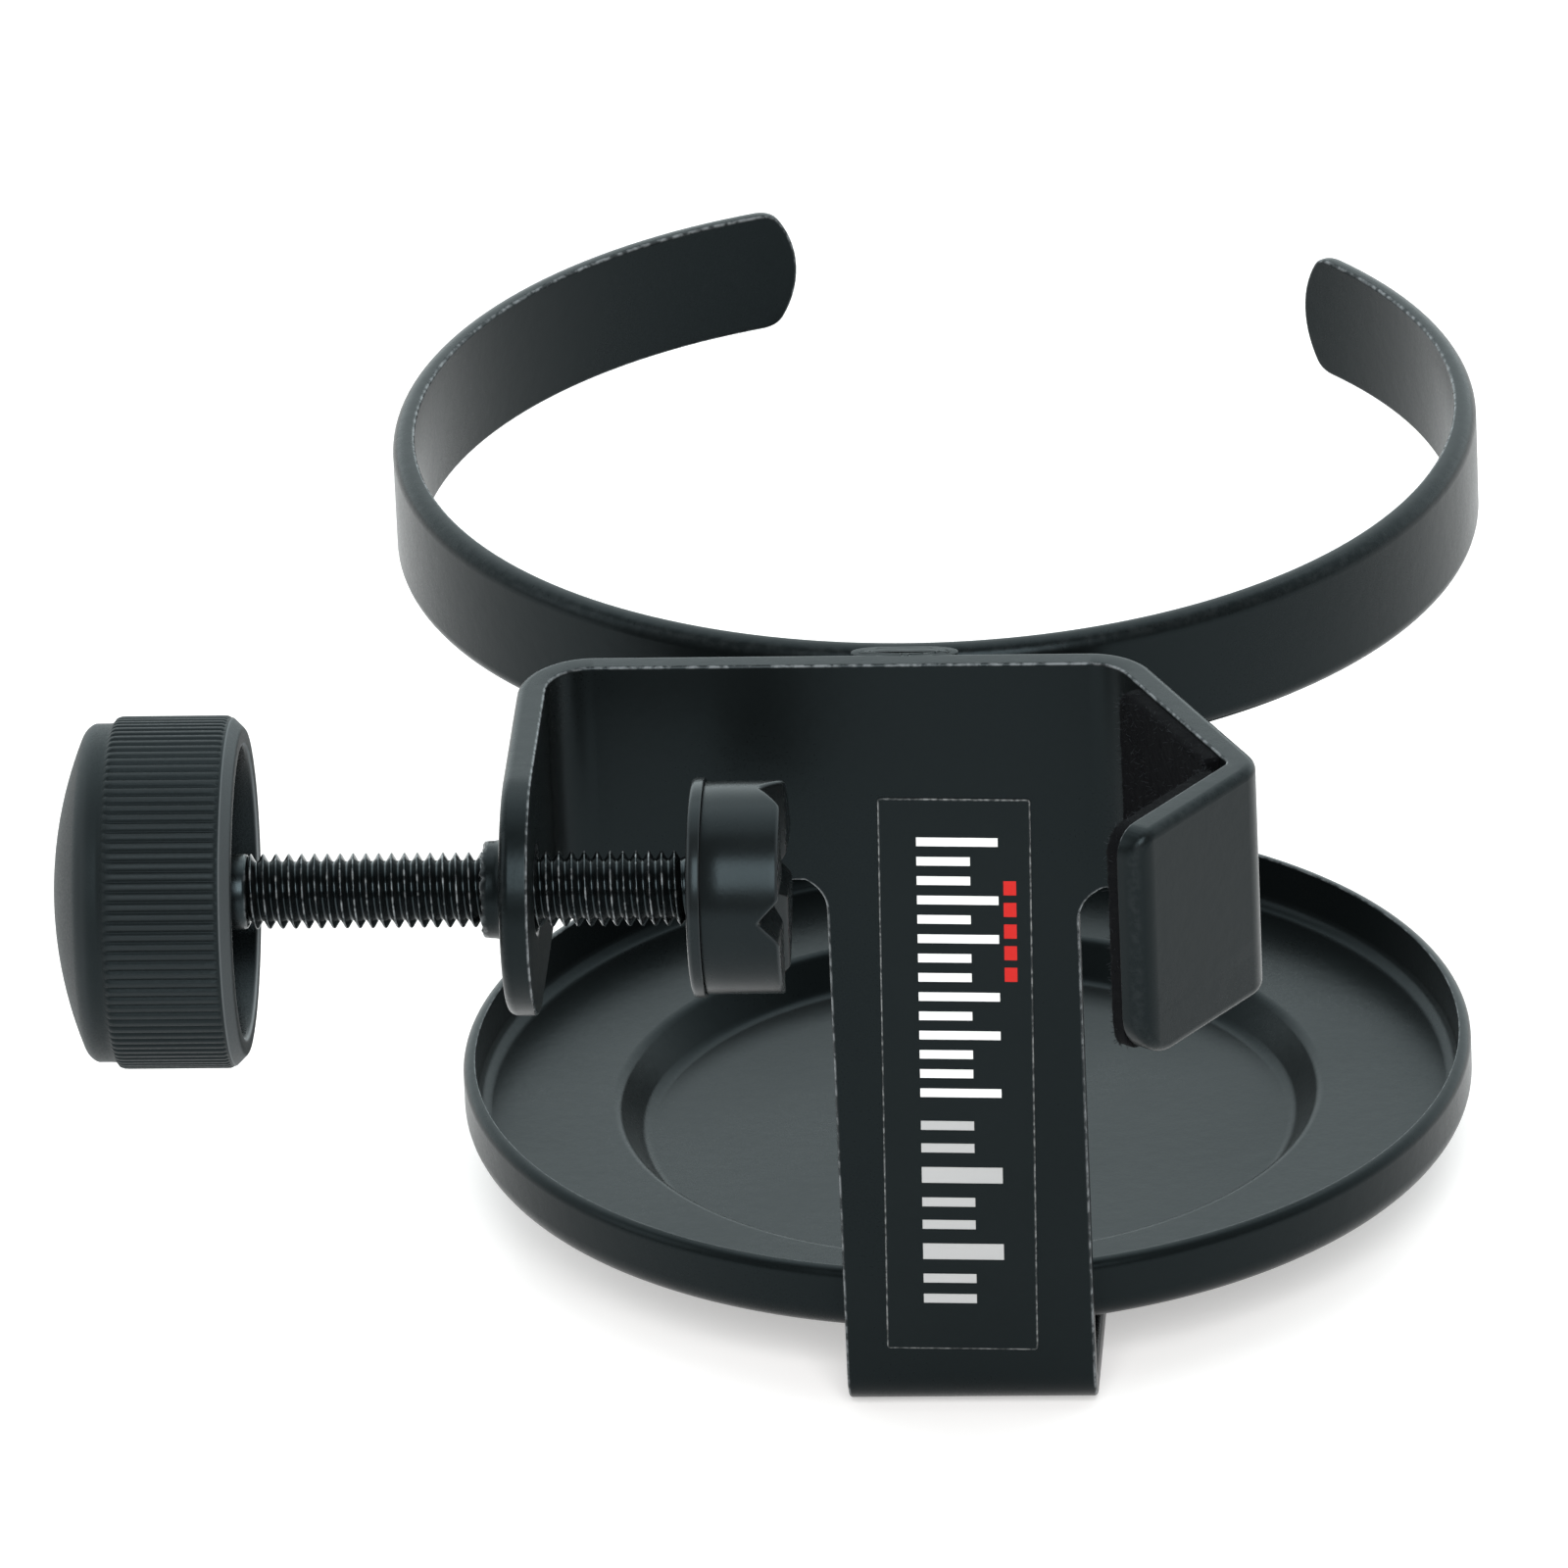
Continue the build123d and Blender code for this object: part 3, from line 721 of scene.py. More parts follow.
def helical_thread(mesh, count=48):
    wear_and_sheen_layer = mesh.verts.layers.float.get("rim") or mesh.verts.layers.float.new("rim")
    rings = thread_rings()
    turns = math.ceil((THREAD_X1 - THREAD_X0) / PITCH) + 3
    start = THREAD_X0 - 1.5 * PITCH
    rows = []
    for i in range(count * turns + 1):
        angle = TURN * i / count
        row = []
        for share, radius, wear_and_sheen in rings:
            x = start + PITCH * (i / count + share)
            ruffle = 0.012 * noise.noise(Vector((x * 1.9, 3 * math.cos(angle), 3 * math.sin(angle))))
            r = min(radius, 2.05 + 1.2 * max(0.0, THREAD_X1 - x)) + ruffle * wear_and_sheen
            vert = mesh.verts.new((x, SCREW_Y + r * math.cos(angle), SCREW_Z + r * math.sin(angle)))
            vert[wear_and_sheen_layer] = wear_and_sheen
            row.append(vert)
        rows.append(row)
    faces = []
    for i in range(len(rows) - 1):
        for j in range(len(rings) - 1):
            faces.append(mesh.faces.new((rows[i][j], rows[i + 1][j], rows[i + 1][j + 1], rows[i][j + 1])))
        if i + count < len(rows) - 1:
            faces.append(mesh.faces.new((rows[i][-1], rows[i + 1][-1],
                                         rows[i + 1 + count][0], rows[i + count][0])))
    for plane_x, side in ((THREAD_X0, -1), (THREAD_X1, 1)):
        geom = mesh.verts[:] + mesh.edges[:] + mesh.faces[:]
        cut = bmesh.ops.bisect_plane(mesh, geom=geom, dist=1e-5, plane_co=(plane_x, 0, 0),
                                     plane_no=(side, 0, 0), clear_outer=True)
        rim = [e for e in cut["geom_cut"] if isinstance(e, bmesh.types.BMEdge)]
        bmesh.ops.contextual_create(mesh, geom=rim)


def make_screw(material):
    mesh = bmesh.new()
    helical_thread(mesh)
    head_x = screw_low.x
    wear_and_sheen_layer = mesh.verts.layers.float.get("rim")
    across = (screw_high.y - screw_low.y) / 2
    corner_r = across / math.cos(math.pi / 6)
    hexagon = [corner_r * cmath.exp(1j * (math.pi / 6 + TURN * k / 6)) for k in range(6)]
    outline = rounded([(p, 0.35) for p in hexagon])
    head_rings = []
    for along, inwards, wear_and_sheen in ((0, 0.35, 0), (0.1, 0.1, 1), (0.35, 0, 0), (HEAD_H - 0.35, 0, 0),
                                 (HEAD_H - 0.1, 0.1, 1), (HEAD_H, 0.35, 0)):
        ring = []
        for p in inset(outline, inwards):
            vert = mesh.verts.new((head_x + along, SCREW_Y + p.real, SCREW_Z + p.imag))
            vert[wear_and_sheen_layer] = wear_and_sheen
            ring.append(vert)
        head_rings.append(ring)
    join_rings(mesh, head_rings)
    mesh.faces.new(head_rings[0])
    mesh.faces.new(head_rings[-1])
    shank_x = head_x + HEAD_H - 0.2
    shank = [(shank_x, 0, 0), (shank_x, THREAD_R, 0), (THREAD_X0 - 0.3, THREAD_R, 0),
             (THREAD_X0 - 0.06, THREAD_R - 0.08, 0.6), (THREAD_X0 + 0.12, THREAD_R - 0.4, 0),
             (THREAD_X0 + 0.12, 0, 0)]
    turned(mesh, shank, 64, AXIS, "X", closed=False)
    tip_x = screw_high.x
    tip = [(THREAD_X1 - 0.1, 0, 0), (THREAD_X1 - 0.1, TIP_R, 0), (tip_x - 1.0, TIP_R, 0),
           (tip_x - 1.0, RIVET_R - 0.1, 0),
           (tip_x - 0.9, RIVET_R, 0.5), (tip_x - 0.55, RIVET_R, 0.5), (tip_x - 0.25, RIVET_R * 0.88, 0),
           (tip_x, RIVET_R * 0.6, 0), (tip_x, 0, 0)]
    turned(mesh, tip, 64, AXIS, "X", closed=False)
    return finish_piece(mesh, "threaded_screw", "screw", ["clamp_screw"], material,
                        False)


# ---------------------------------------------------------------- knob

RIB_X0 = -60.4
RIB_X1 = -51.45
RIBS = 108
RIB_SAMPLES = 10
KNOB_R = (knob_high.z - knob_low.z) / 2
KNOB_HEAD_R = 13.15
KNOB_ROOT_R = 13.48
HOLLOW_R = 11.3
HOLLOW_FLOOR_X = -60.2
BOSS_R = 7.0
DOME_H = 2.45


def knob_rows():
    """(x, radius, rib share, edge mark) rows from the dome's middle round to the boss's face; the edge mark
    is a painted highlight.
    """
    x0, x1 = knob_low.x, knob_high.x
    dome_edge = KNOB_HEAD_R - 0.85
    sphere = (dome_edge**2 + DOME_H**2) / (2 * DOME_H)
    rows = [(x0 + sphere - math.sqrt(sphere**2 - r * r), r, 0, 0)
            for r in [0] + [dome_edge * (k / 13)**0.8 for k in range(1, 14)]]
    lean = math.asin(dome_edge / sphere)
    shoulder = 0.95
    centre = (rows[-1][0] + shoulder * math.cos(lean), dome_edge - shoulder * math.sin(lean))
    lift = KNOB_HEAD_R - centre[1] - shoulder
    for k in range(1, 8):
        a = lean + (math.pi / 2 - lean) * k / 7
        height = centre[1] + (shoulder + lift * k / 7) * math.sin(a)
        rows.append((centre[0] - shoulder * math.cos(a), height, 0, 0.4))
    rows += [(RIB_X0 - 0.45, KNOB_HEAD_R, 0, 0), (RIB_X0 - 0.12, KNOB_HEAD_R + 0.03, 0, 0),
             (RIB_X0 + 0.05, KNOB_HEAD_R + 0.17, 0.12, 0), (RIB_X0 + 0.22, KNOB_ROOT_R - 0.02, 0.55, 0),
             (RIB_X0 + 0.5, KNOB_ROOT_R, 0.92, 0), (RIB_X0 + 0.9, KNOB_ROOT_R, 1, 0)]
    rows += [(RIB_X0 + 0.9 + (RIB_X1 - RIB_X0 - 1.5) * k / 5, KNOB_ROOT_R, 1, 0) for k in range(1, 6)]
    rows += [(RIB_X1 - 0.25, KNOB_ROOT_R, 0.95, 0), (RIB_X1 - 0.08, KNOB_ROOT_R + 0.01, 0.6, 0),
             (RIB_X1, KNOB_ROOT_R + 0.05, 0, 0), (x1 - 0.92, KNOB_ROOT_R + 0.06, 0, 0.3),
             (x1 - 0.84, KNOB_ROOT_R + 0.02, 0, 0.8), (x1 - 0.74, KNOB_ROOT_R - 0.07, 0, 0.6),
             (x1 - 0.14, KNOB_ROOT_R - 0.67, 0, 0.6), (x1 - 0.03, KNOB_ROOT_R - 0.82, 0, 0.5),
             (x1, KNOB_ROOT_R - 1.0, 0, 0), (x1, HOLLOW_R + 0.38, 0, 0.4), (x1 - 0.05, HOLLOW_R + 0.2, 0, 1),
             (x1 - 0.18, HOLLOW_R + 0.06, 0, 1), (x1 - 0.38, HOLLOW_R, 0, 0.3),
             (x1 - 3.5, HOLLOW_R - 0.15, 0, 0), (HOLLOW_FLOOR_X + 0.8, HOLLOW_R - 0.48, 0, 0),
             (HOLLOW_FLOOR_X + 0.25, HOLLOW_R - 0.65, 0, 0), (HOLLOW_FLOOR_X, HOLLOW_R - 1.2, 0, 0),
             (HOLLOW_FLOOR_X, BOSS_R + 0.6, 0, 0), (HOLLOW_FLOOR_X + 0.2, BOSS_R + 0.12, 0, 0),
             (HOLLOW_FLOOR_X + 0.7, BOSS_R - 0.02, 0, 0)]
    face_x = screw_low.x + HEAD_H
    rows += [(face_x - 0.35, BOSS_R - 0.3, 0, 0), (face_x - 0.1, BOSS_R - 0.4, 0, 0.8),
             (face_x, BOSS_R - 0.65, 0, 0), (face_x - 0.05, 5.9, 0, 0), (face_x - 0.12, 0, 0, 0)]
    return rows


def make_knob(material):
    mesh = bmesh.new()
    wear_and_sheen_layer = mesh.verts.layers.float.new("rim")
    count = RIBS * RIB_SAMPLES
    rings = []
    for x, radius, share, wear_and_sheen in knob_rows():
        ring = []
        for k in range(count if radius > 0 else 1):
            turn = TURN * k / count
            groove = (0.5 + 0.5 * math.cos(TURN * k / RIB_SAMPLES))**3
            r = radius + share * (KNOB_R - KNOB_ROOT_R) * (1 - groove)
            vert = mesh.verts.new((x, SCREW_Y + r * math.cos(turn), SCREW_Z + r * math.sin(turn)))
            # Rib crests get an edge mark too: a painted highlight.
            vert[wear_and_sheen_layer] = max(wear_and_sheen, 0.35 * share * (1 - groove)**4)
            ring.append(vert)
        rings.append(ring)
    join_rings(mesh, rings)
    return finish_piece(mesh, "ribbed_knob", "screw", ["knob"], material, False)


# ---------------------------------------------------------------- shoe

CAP_R = 8.25
SHOE_TURN = math.radians(-6.0)
Z_GROOVE = (2.6, 1.7)
Y_GROOVE = (1.65, 1.6)
GROOVE_SOFT = 0.16


def groove_depth(across, half, depth):
    """Depth of a V groove with a softened bottom and shoulders, at a distance from its middle."""
    distance = math.sqrt(across * across + GROOVE_SOFT**2) - GROOVE_SOFT
    value = depth * (1 - distance / half)
    soft = 0.12
    return (value + math.sqrt(value * value + soft * soft)) / 2


def face_drop(y, z):
    """How far the shoe's grooved face lies behind its front, at (y, z) from the screw's axis."""
    along = y * math.cos(SHOE_TURN) + z * math.sin(SHOE_TURN)
    up = -y * math.sin(SHOE_TURN) + z * math.cos(SHOE_TURN)
    first = groove_depth(along, *Z_GROOVE)
    second = groove_depth(up, *Y_GROOVE)
    soft = 0.10
    return (first + second + math.sqrt((first - second)**2 + soft * soft)) / 2


def make_shoe(disc_material, cap_material):
    mesh = bmesh.new()
    x0, x1 = disc_low.x, disc_high.x
    disc_r = (disc_high.z - disc_low.z) / 2
    hole = TIP_R + 0.06
    profile = [(x0, hole, 0), (x0, disc_r - 0.42, 0), (x0 + 0.06, disc_r - 0.2, 0.8),
               (x0 + 0.18, disc_r - 0.06, 1),
               (x0 + 0.38, disc_r, 0.2), (x1 - 0.1, disc_r, 0.2), (x1 - 0.04, disc_r - 0.02, 1),
               (x1 - 0.01, disc_r - 0.06, 0.8), (x1, disc_r - 0.14, 0), (x1, hole, 0)]
    turned(mesh, profile, 160, AXIS, "X")
    finish_piece(mesh, "swivel_disc", "shoe", ["shoe_disc"], disc_material, False)

    mesh = bmesh.new()
    wear_and_sheen_layer = mesh.verts.layers.float.new("rim")
    x0, x1 = cap_low.x, cap_high.x
    middle = (x0 + x1) / 2
    count = 288
    cavity = 3.3
    sides = [(x0, cavity, 0), (x0, CAP_R - 0.12, 0), (x0 + 0.03, CAP_R - 0.04, 0.6), (x0 + 0.1, CAP_R, 0),
             (middle - 1.4, CAP_R, 0), (middle, CAP_R, 0)]
    rings = []

    def ring_at(make):
        ring = []
        for k in range(count):
            turn = TURN * k / count
            x, r, wear_and_sheen = make(math.cos(turn), math.sin(turn))
            vert = mesh.verts.new((x, SCREW_Y + r * math.cos(turn), SCREW_Z + r * math.sin(turn)))
            vert[wear_and_sheen_layer] = wear_and_sheen
            ring.append(vert)
        rings.append(ring)

    for x, radius, wear_and_sheen in sides:
        ring_at(lambda c, s: (x, radius, wear_and_sheen))
    edge = 0.28
    for share in (0.35, 0.65, 0.85):
        ring_at(lambda c, s: (middle + share * (x1 - edge - face_drop(CAP_R * c, CAP_R * s) - middle),
                              CAP_R, 0))
    for k in range(5):
        a = math.pi / 2 * k / 4
        r = CAP_R - edge * (1 - math.cos(a))
        ring_at(lambda c, s: (x1 - face_drop(r * c, r * s) - edge * (1 - math.sin(a)), r, math.sin(2 * a)))
    for k in range(1, 64):
        r = (CAP_R - edge) * (1 - k / 64)
        ring_at(lambda c, s: (x1 - face_drop(r * c, r * s), r, 0))
    join_rings(mesh, rings)
    hub = mesh.verts.new((x1 - face_drop(0, 0), SCREW_Y, SCREW_Z))
    for k in range(count):
        mesh.faces.new((rings[-1][k - 1], rings[-1][k], hub))
    floor_x = x0 + 1.55
    well = [(floor_x, 0, 0), (floor_x, cavity - 0.2, 0), (floor_x - 0.2, cavity, 0)]
    start = len(mesh.verts)
    turned(mesh, well, count, AXIS, "X", closed=False)
    mesh.verts.ensure_lookup_table()
    lip = [mesh.verts[start + 1 + count + k] for k in range(count)]
    for k in range(count):
        mesh.faces.new((rings[0][k - 1], rings[0][k], lip[k], lip[k - 1]))
    finish_piece(mesh, "grooved_shoe", "shoe", ["shoe_cap"], cap_material, False)


# ---------------------------------------------------------------- felt pads

PAD_T = 1.35
PAD_START = 1.4
PAD_INSET = 0.25


def fuzz(mesh, count, seed, outside):
    """Short loose fibres standing out of the felt, each a thin bent three-sided strand."""
    draw = random.Random(seed)
    wear_and_sheen_layer = mesh.verts.layers.float.get("rim")
    for vert in mesh.verts:
        vert[wear_and_sheen_layer] = 0.0
    faces = [f for f in mesh.faces if outside(f)]
    for _ in range(count):
        face = faces[draw.randrange(len(faces))]
        root = face.calc_center_median() - face.normal * 0.05
        side = Vector((draw.uniform(-1, 1), draw.uniform(-1, 1), draw.uniform(-1, 1)))
        lean = (face.normal + side * 1.1).normalized()
        sway = Vector((draw.uniform(-1, 1), draw.uniform(-1, 1), draw.uniform(-1, 1))) * 0.9
        length = draw.uniform(0.22, 0.5)
        shine = draw.uniform(0.0, 1.0)
        across = lean.orthogonal().normalized()
        third = lean.cross(across)
        rings = []
        for step in range(4):
            t = step / 3
            at = root + (lean * t + sway * t * t * 0.5) * length
            r = 0.028 * (1 - 0.6 * t)
            ring = [mesh.verts.new(at + across * r * math.cos(TURN * k / 3)
                                   + third * r * math.sin(TURN * k / 3)) for k in range(3)]
            for vert in ring:
                vert[wear_and_sheen_layer] = shine * (0.3 + 0.7 * t)
            rings.append(ring)
        join_rings(mesh, rings)
        mesh.faces.new(rings[0])
        mesh.faces.new(rings[-1])


def make_pad(name, node, along, inward, length, seed, material):
    """A needled felt strip glued to one inner face of the V jaw."""
    height = STRIP_H - 2 * PAD_INSET
    outline = rounded([(0j, 0.35), (complex(length, 0), 2.0), (complex(length, height), 2.0),
                       (complex(0, height), 0.35)], 9.0)
    mesh = flat_sheet(outline, rim_rings(PAD_T, 0.42, 0.08, 5))
    pitch = 0.34
    cut_across(mesh, 0, [pitch * k for k in range(1, int(length / pitch))])
    cut_across(mesh, 1, [pitch * k for k in range(1, int(height / pitch))])
    mesh.normal_update()
    moves = []
    for vert in mesh.verts:
        place = vert.co * 1.3 + Vector((seed * 7.0, 0, 0))
        rough = (0.07 * noise.noise(place) + 0.055 * noise.noise(place * 3.1)
                 + 0.035 * noise.noise(place * 7.7))
        free = min(1.0, vert.co.z / 0.3)
        moves.append((vert, vert.normal * (rough * free - 0.05 * free)))
    for vert, move in moves:
        vert.co += move
    mesh.normal_update()
    fuzz(mesh, 1600, seed, lambda f: f.calc_center_median().z > 0.25)
    base = jaw_vertex + along * PAD_START
    for vert in mesh.verts:
        s, v, level = vert.co
        plan = base + along * s + inward * level
        vert.co = Vector((plan.real, plan.imag, STRIP_Z + PAD_INSET + v))
    pad = finish_piece(mesh, name, "bracket", [node], material, False)
    return pad


# ---------------------------------------------------------------- label

LABEL_W = 12.0
LABEL_H = 48.7
LABEL_TILT = math.radians(1.2)


def label_centre():
    return Vector(((label_low.x + label_high.x) / 2, label_high.y, (label_low.z + label_high.z) / 2))


def label_film():
    """Black film with abstract printed bars and a light cut edge."""
    made, tree = new_material("printed_black_film")
    point = object_point(tree)
    local = add_node(tree, "ShaderNodeMapping",
                     {"Vector": point, "Location": label_centre() * MM, "Rotation": (0, LABEL_TILT, 0),
                      "Scale": (MM, MM, MM)}, vector_type="TEXTURE").outputs[0]
    split = add_node(tree, "ShaderNodeSeparateXYZ", {0: local})
    across, up = split.outputs["X"], split.outputs["Z"]

    def bar(x, z, half_x, half_z):
        return math_node(tree, "MULTIPLY", math_node(tree, "COMPARE", across, x, half_x),
                         math_node(tree, "COMPARE", up, z, half_z))

    def together(masks):
        total = masks[0]
        for mask in masks[1:]:
            total = math_node(tree, "MAXIMUM", total, mask)
        return total

    white = together([bar(*spec) for spec in WHITE_BARS])
    silver = together([bar(*spec) for spec in SILVER_BARS])
    red = together([bar(*spec) for spec in RED_BARS])
    fine = noise_at(tree, point, 5200, 2.0)
    cloud = noise_at(tree, point, 160, 3.0)
    film = mix_colour(tree, cloud, grey(0.0034, 1.3, 1.35), grey(0.0052, 1.3, 1.35))
    colour = mix_colour(tree, silver, film, grey(0.42, 1.0, 1.0))
    colour = mix_colour(tree, white, colour, grey(0.86, 1.0, 1.0))
    colour = mix_colour(tree, red, colour, (0.52, 0.018, 0.014, 1))
    speck = remap(tree, noise_at(tree, point, 1900, 3.0), 0.42, 0.6, 0.15, 1.0)
    edge = math_node(tree, "MULTIPLY", rim_factor(tree), speck)
    colour = mix_colour(tree, edge, colour, grey(0.22, 1.03, 1.03))
    rough = remap(tree, cloud, 0.3, 0.7, 0.34, 0.42)
    normal = bump(tree, cloud, 0.00004, 0.5)
    normal = bump(tree, fine, 0.000004, 0.4, normal)
    surface(tree, colour, rough, normal, Specular_IOR_Level=0.12, Specular_Tint=COAT_TINT)
    return made


def printed_bar(z, wide, half_z):
    return (0.2, z, 3.2, half_z) if wide else (-0.9, z, 2.1, half_z)


WIDE_WHITE = (0, 3, 5, 8, 10, 13)
WHITE_BARS = [printed_bar(20.6 - 1.7 * k, k in WIDE_WHITE, 0.38) for k in range(14)]
SILVER_BARS = [printed_bar(z, z in (-8.8, -15.6), 0.7 if z in (-8.8, -15.6) else 0.4)
               for z in (-4.4, -6.4, -8.8, -11.2, -13.2, -15.6, -18.0, -19.8)]
RED_BARS = [(4.3, 16.6 - 1.9 * k, 0.5, 0.62) for k in range(5)]


def make_label(material):
    half_w, half_h = LABEL_W / 2, LABEL_H / 2
    thick = label_high.y - label_low.y
    outline = rounded([(complex(-half_w, -half_h), 0.3), (complex(half_w, -half_h), 0.3),
                       (complex(half_w, half_h), 0.3), (complex(-half_w, half_h), 0.3)])
    rings = [(0.16, thick - 0.004, 0), (0.07, thick - 0.008, 0.7), (0.03, thick - 0.02, 1),
             (0.0, thick * 0.5, 1), (0.0, 0.0, 1), (0.3, 0.0, 0)]
    mesh = flat_sheet(outline, rings)
    cut_across(mesh, 0, [half_w * k / 6 for k in range(-5, 6)])
    cut_across(mesh, 1, [half_h * k / 20 for k in range(-19, 20)])
    middle = label_centre()
    tilt = cmath.exp(-1j * LABEL_TILT)
    for vert in mesh.verts:
        u, v, level = vert.co
        if level > thick / 2:
            wave = noise.noise(Vector((u * 0.16, v * 0.09, 2.0)))
            level -= 0.03 * abs(wave) * min(1.0, (half_w - abs(u)) / 1.5)
        spot = complex(u, v) * tilt
        vert.co = Vector((middle.x + spot.real, middle.y - level, middle.z + spot.imag))
    return finish_piece(mesh, "printed_label", "bracket", ["label"], material)


# ---------------------------------------------------------------- welds

def bead(mesh, start, stop, radius, ceiling, seed):
    """A rippled weld bead: a closed tube, tapered at both ends, flattened under a ceiling."""
    start, stop = Vector(start), Vector(stop)
    run = stop - start
    along = run.normalized()
    side = along.cross(Vector((0, 0, 1))).normalized()
    steps, around = max(24, int(run.length / 0.16)), 28
    rings = []
    for i in range(steps + 1):
        t = i / steps
        ends = max(0.05, 1 - abs(2 * t - 1)**9)**0.5
        ripple = (1 + 0.05 * math.sin(TURN * run.length * t / 0.95)
                  + 0.10 * noise.noise(Vector((t * 9, seed, 0))))
        middle = start + run * t
        ring = []
        for k in range(around):
            a = TURN * k / around
            spot = Vector((t * run.length * 1.3, 2 * math.cos(a), 2 * math.sin(a) + seed))
            lump = 1 + 0.06 * noise.noise(spot)
            r = radius * ends * ripple * lump
            place = middle + side * r * math.cos(a) + Vector((0, 0, 1)) * r * math.sin(a)
            place.z = min(place.z, ceiling)
            ring.append(mesh.verts.new(place))
        rings.append(ring)
    join_rings(mesh, rings)
    mesh.faces.new(rings[0])
    mesh.faces.new(rings[-1])


def make_ring_weld(material):
    half = (ring_weld_high.x - ring_weld_low.x) / 2
    back_y = FRONT_Y + SHEET
    crown = 0.45 * (ring_weld_high.z - TOP_Z)  # nearly flush with the plate's top
    depth = 0.8
    outline = [complex(half * math.cos(TURN * k / 72), 1.15 * math.sin(TURN * k / 72)) for k in range(72)]
    outline = [complex(p.real, math.copysign(abs(p.imag)**0.8 * 1.05, p.imag)) for p in outline]
    dome = [(0.95 * (1 - k / 7), depth - 0.03 + crown * math.cos(math.pi * k / 14)**2, 0) for k in range(8)]
    mesh = flat_sheet(outline, dome + [(0.0, 0.0, 0), (0.3, 0.0, 0)])
    cut_across(mesh, 0, [half * k / 16 for k in range(-15, 16)])
    cut_across(mesh, 1, [-0.6, -0.3, 0.0, 0.3, 0.6])
    for vert in mesh.verts:
        u, v, level = vert.co
        if level > depth:
            level -= 0.02 + 0.02 * noise.noise(Vector((u * 0.5, v * 0.8, 3.0)))
        vert.co = Vector((u, back_y + v, TOP_Z - depth + level))
    low_z = TOP_Z - RING_H
    bead_y, bead_z = back_y + 0.15, low_z + 0.05
    bead(mesh, (-half, bead_y, bead_z), (half, bead_y, bead_z), 1.3, low_z + 1.2, 4.0)
    return finish_piece(mesh, "ring_welds", "bracket", ["ring_weld_beads"], material,
                        False)


def make_tray_weld(material):
    mesh = bmesh.new()
    mesh.verts.layers.float.new("rim")
    y0, y1 = tray_weld_low.y, tray_weld_high.y
    for x, seed in ((TONGUE_X0 - 0.1, 1.0), (TONGUE_X1 + 0.1, 6.0)):
        bead(mesh, (x, y0, SHEET - 0.1), (x, y1, SHEET - 0.1), 1.25, SHEET + 0.4, seed)
    return finish_piece(mesh, "tray_welds", "bracket", ["tray_weld_beads"], material,
                        False)


# ---------------------------------------------------------------- making every piece

coat = powder_coat()
make_bracket(coat)
make_ring(coat)
make_tray(coat)
make_ring_weld(coat)
make_tray_weld(coat)
make_screw(screw_black())
make_knob(knob_plastic())
make_shoe(moulded_rubber("moulded_black_plastic", 0.0045, 0.23, 0.28),
          moulded_rubber("moulded_black_rubber", 0.0045, 0.25, 0.30))
pad_felt = felt()
arm_along = complex(-math.sin(JAW_ARM), math.cos(JAW_ARM))
arm_inward = complex(-math.cos(JAW_ARM), -math.sin(JAW_ARM))
lip_along = complex(-math.sin(JAW_LIP), -math.cos(JAW_LIP))
lip_inward = complex(-math.cos(JAW_LIP), math.sin(JAW_LIP))
make_pad("felt_pad_rear", "jaw_pad_rear", arm_along, arm_inward, 15.5, 3, pad_felt)
make_pad("felt_pad_front", "jaw_pad_front", lip_along, lip_inward, 12.9, 8, pad_felt)
make_label(label_film())

# ---------------------------------------------------------------- floor, light and camera

floor_mesh = bpy.data.meshes.new("floor")
SPAN = 8.0
corners = [(-SPAN, -SPAN, 0), (SPAN, -SPAN, 0), (SPAN, SPAN, 0), (-SPAN, SPAN, 0)]
floor_mesh.from_pydata(corners, [], [(0, 1, 2, 3)])
floor = bpy.data.objects.new("floor", floor_mesh)
bpy.context.scene.collection.objects.link(floor)
floor.location.z = cad_low.z - 0.0001
floor_material, floor_tree = new_material("pale_floor")
floor_shader = add_node(floor_tree, "ShaderNodeBsdfPrincipled",
                        {"Base Color": (0.66, 0.645, 0.64, 1), "Roughness": 0.9})
floor_shader.inputs["Specular IOR Level"].default_value = 0.1
floor_shader.inputs["Emission Color"].default_value = (1, 0.99, 0.98, 1)
floor_shader.inputs["Emission Strength"].default_value = 0.45
add_node(floor_tree, "ShaderNodeOutputMaterial", {"Surface": floor_shader.outputs[0]})
floor_mesh.materials.append(floor_material)

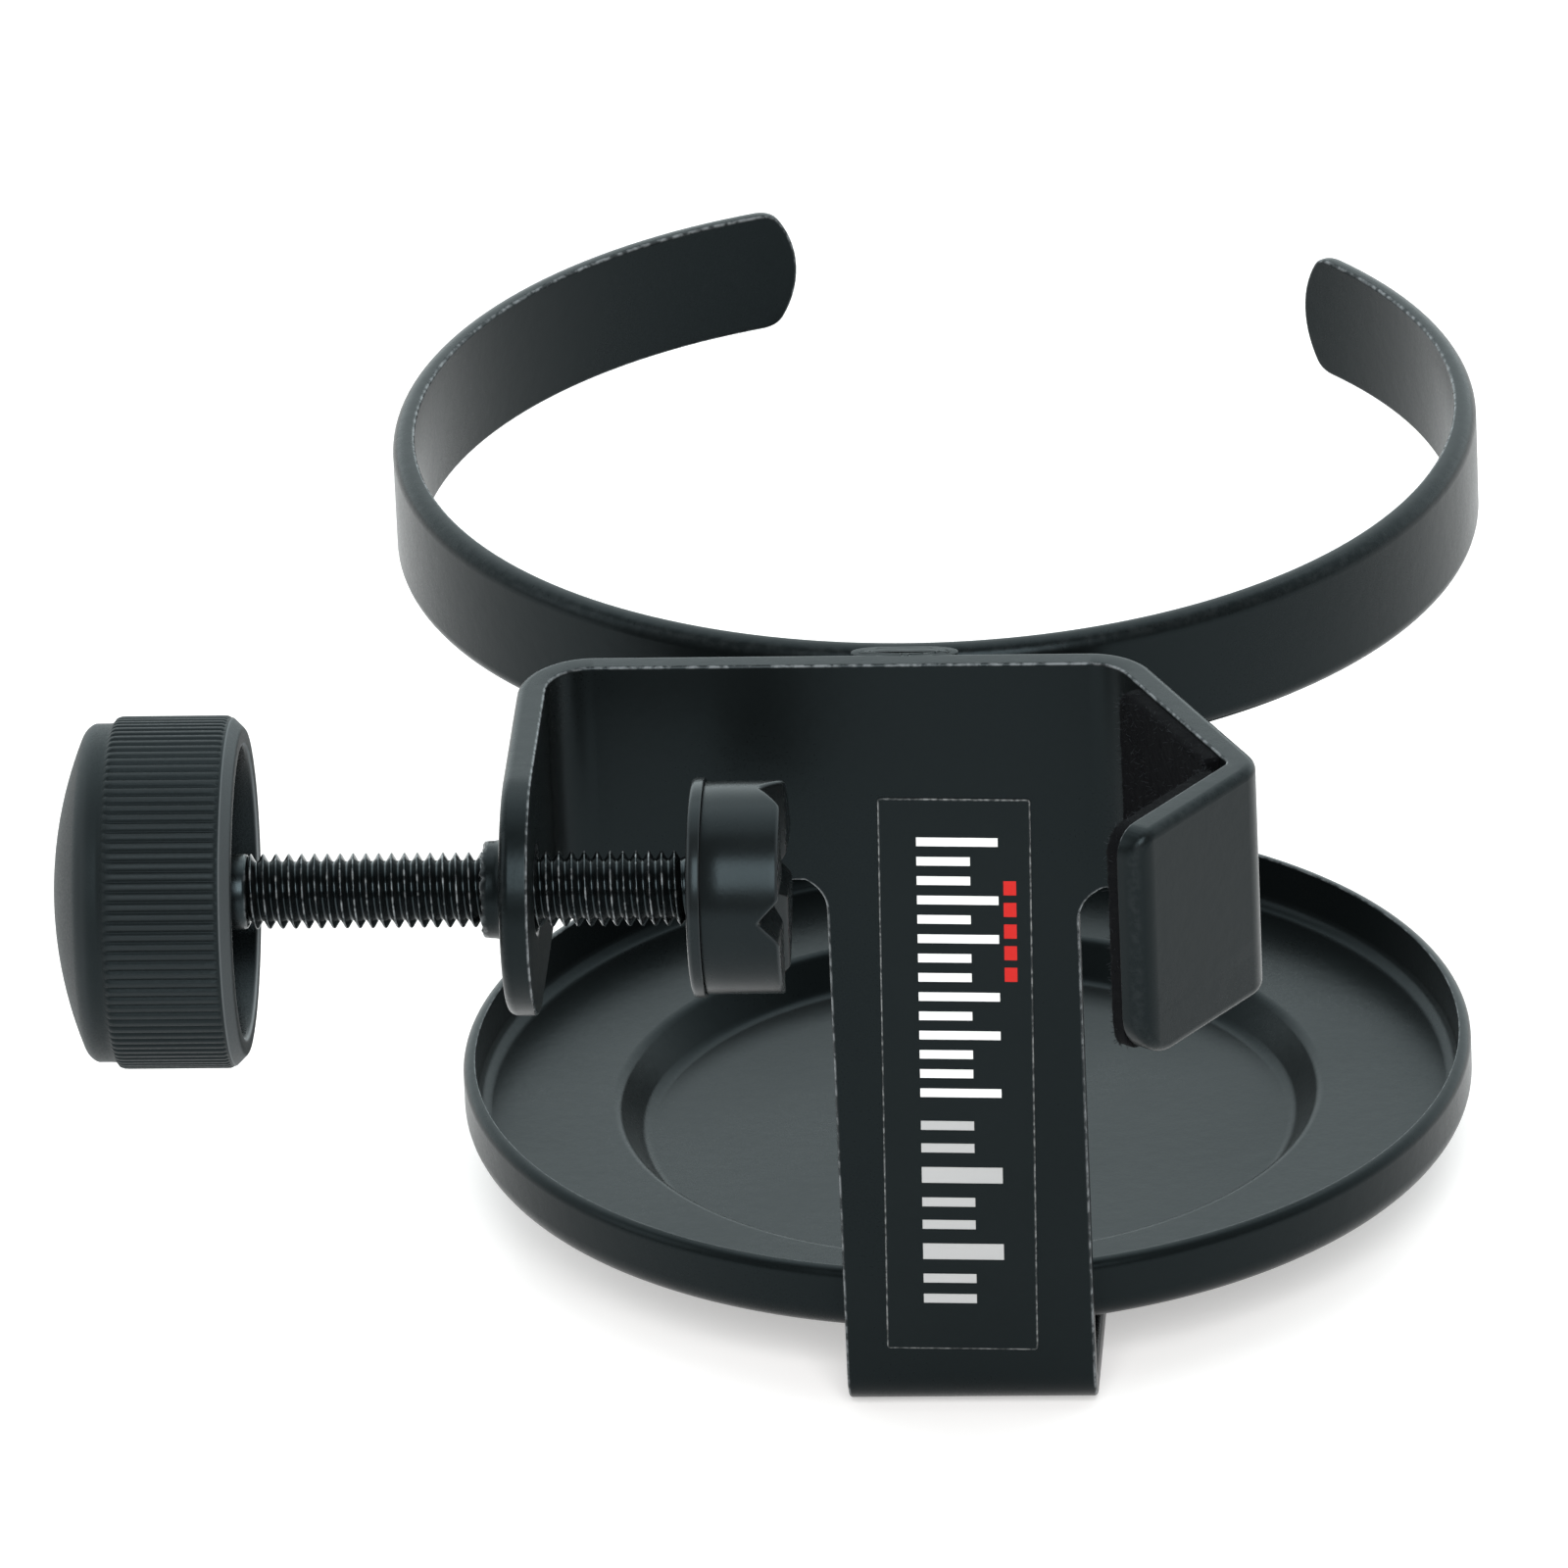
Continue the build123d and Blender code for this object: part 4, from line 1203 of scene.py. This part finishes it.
world = bpy.data.worlds.new("studio")
bpy.context.scene.world = world
world.use_nodes = True
sky = world.node_tree
direction = add_node(sky, "ShaderNodeTexCoord").outputs["Generated"]
split = add_node(sky, "ShaderNodeSeparateXYZ", {0: direction})
from_back = add_node(sky, "ShaderNodeMapRange",
                     {"Value": split.outputs["Y"], "From Min": -0.25, "From Max": 0.8,
                      "To Min": 0.20, "To Max": 2.3}, interpolation_type="SMOOTHSTEP").outputs["Result"]
sky.links.new(from_back, sky.nodes["Background"].inputs[1])
sky.nodes["Background"].inputs[0].default_value = (0.88, 0.985, 1.0, 1)


def area_light(name, place, target, size, power):
    data = bpy.data.lights.new(name, "AREA")
    data.shape = "RECTANGLE"
    data.size, data.size_y = size
    data.energy = power
    lamp = bpy.data.objects.new(name, data)
    bpy.context.scene.collection.objects.link(lamp)
    lamp.location = place
    lamp.rotation_euler = (Vector(target) - Vector(place)).to_track_quat("-Z", "Y").to_euler()
    return lamp


HUB = Vector((0, -0.02, 0.03))
area_light("overhead", (0.0, 0.35, 1.3), HUB, (1.3, 1.0), 5)
area_light("left_box", (-1.2, -0.25, 0.7), HUB, (0.6, 0.9), 3)
area_light("right_box", (1.2, -0.1, 0.6), HUB, (0.5, 0.9), 0.5)
area_light("front_box", (0.1, -1.0, 0.86), HUB, (0.7, 0.7), 15)

AZIMUTH = math.radians(4.521)
ELEVATION = math.radians(26.218)
ROLL = math.radians(-2.514)
DISTANCE = 1.5979
aim = Vector(((cad_low.x + cad_high.x) / 2 + 0.00121, FRONT_Y * MM, TOP_Z * MM - 0.0103))
view = (Matrix.Rotation(AZIMUTH, 4, "Z") @ Matrix.Rotation(math.pi / 2 - ELEVATION, 4, "X")
        @ Matrix.Rotation(ROLL, 4, "Z"))
camera_data = bpy.data.cameras.new("camera")
camera_data.lens = 468.6
camera_data.sensor_width = 36.0
camera_data.clip_start = 0.05
camera_data.clip_end = 50.0
camera = bpy.data.objects.new("camera", camera_data)
bpy.context.scene.collection.objects.link(camera)
camera.matrix_world = Matrix.Translation(aim + view.to_3x3() @ Vector((0, 0, DISTANCE))) @ view
bpy.context.scene.camera = camera
bpy.context.scene.view_settings.view_transform = "Standard"
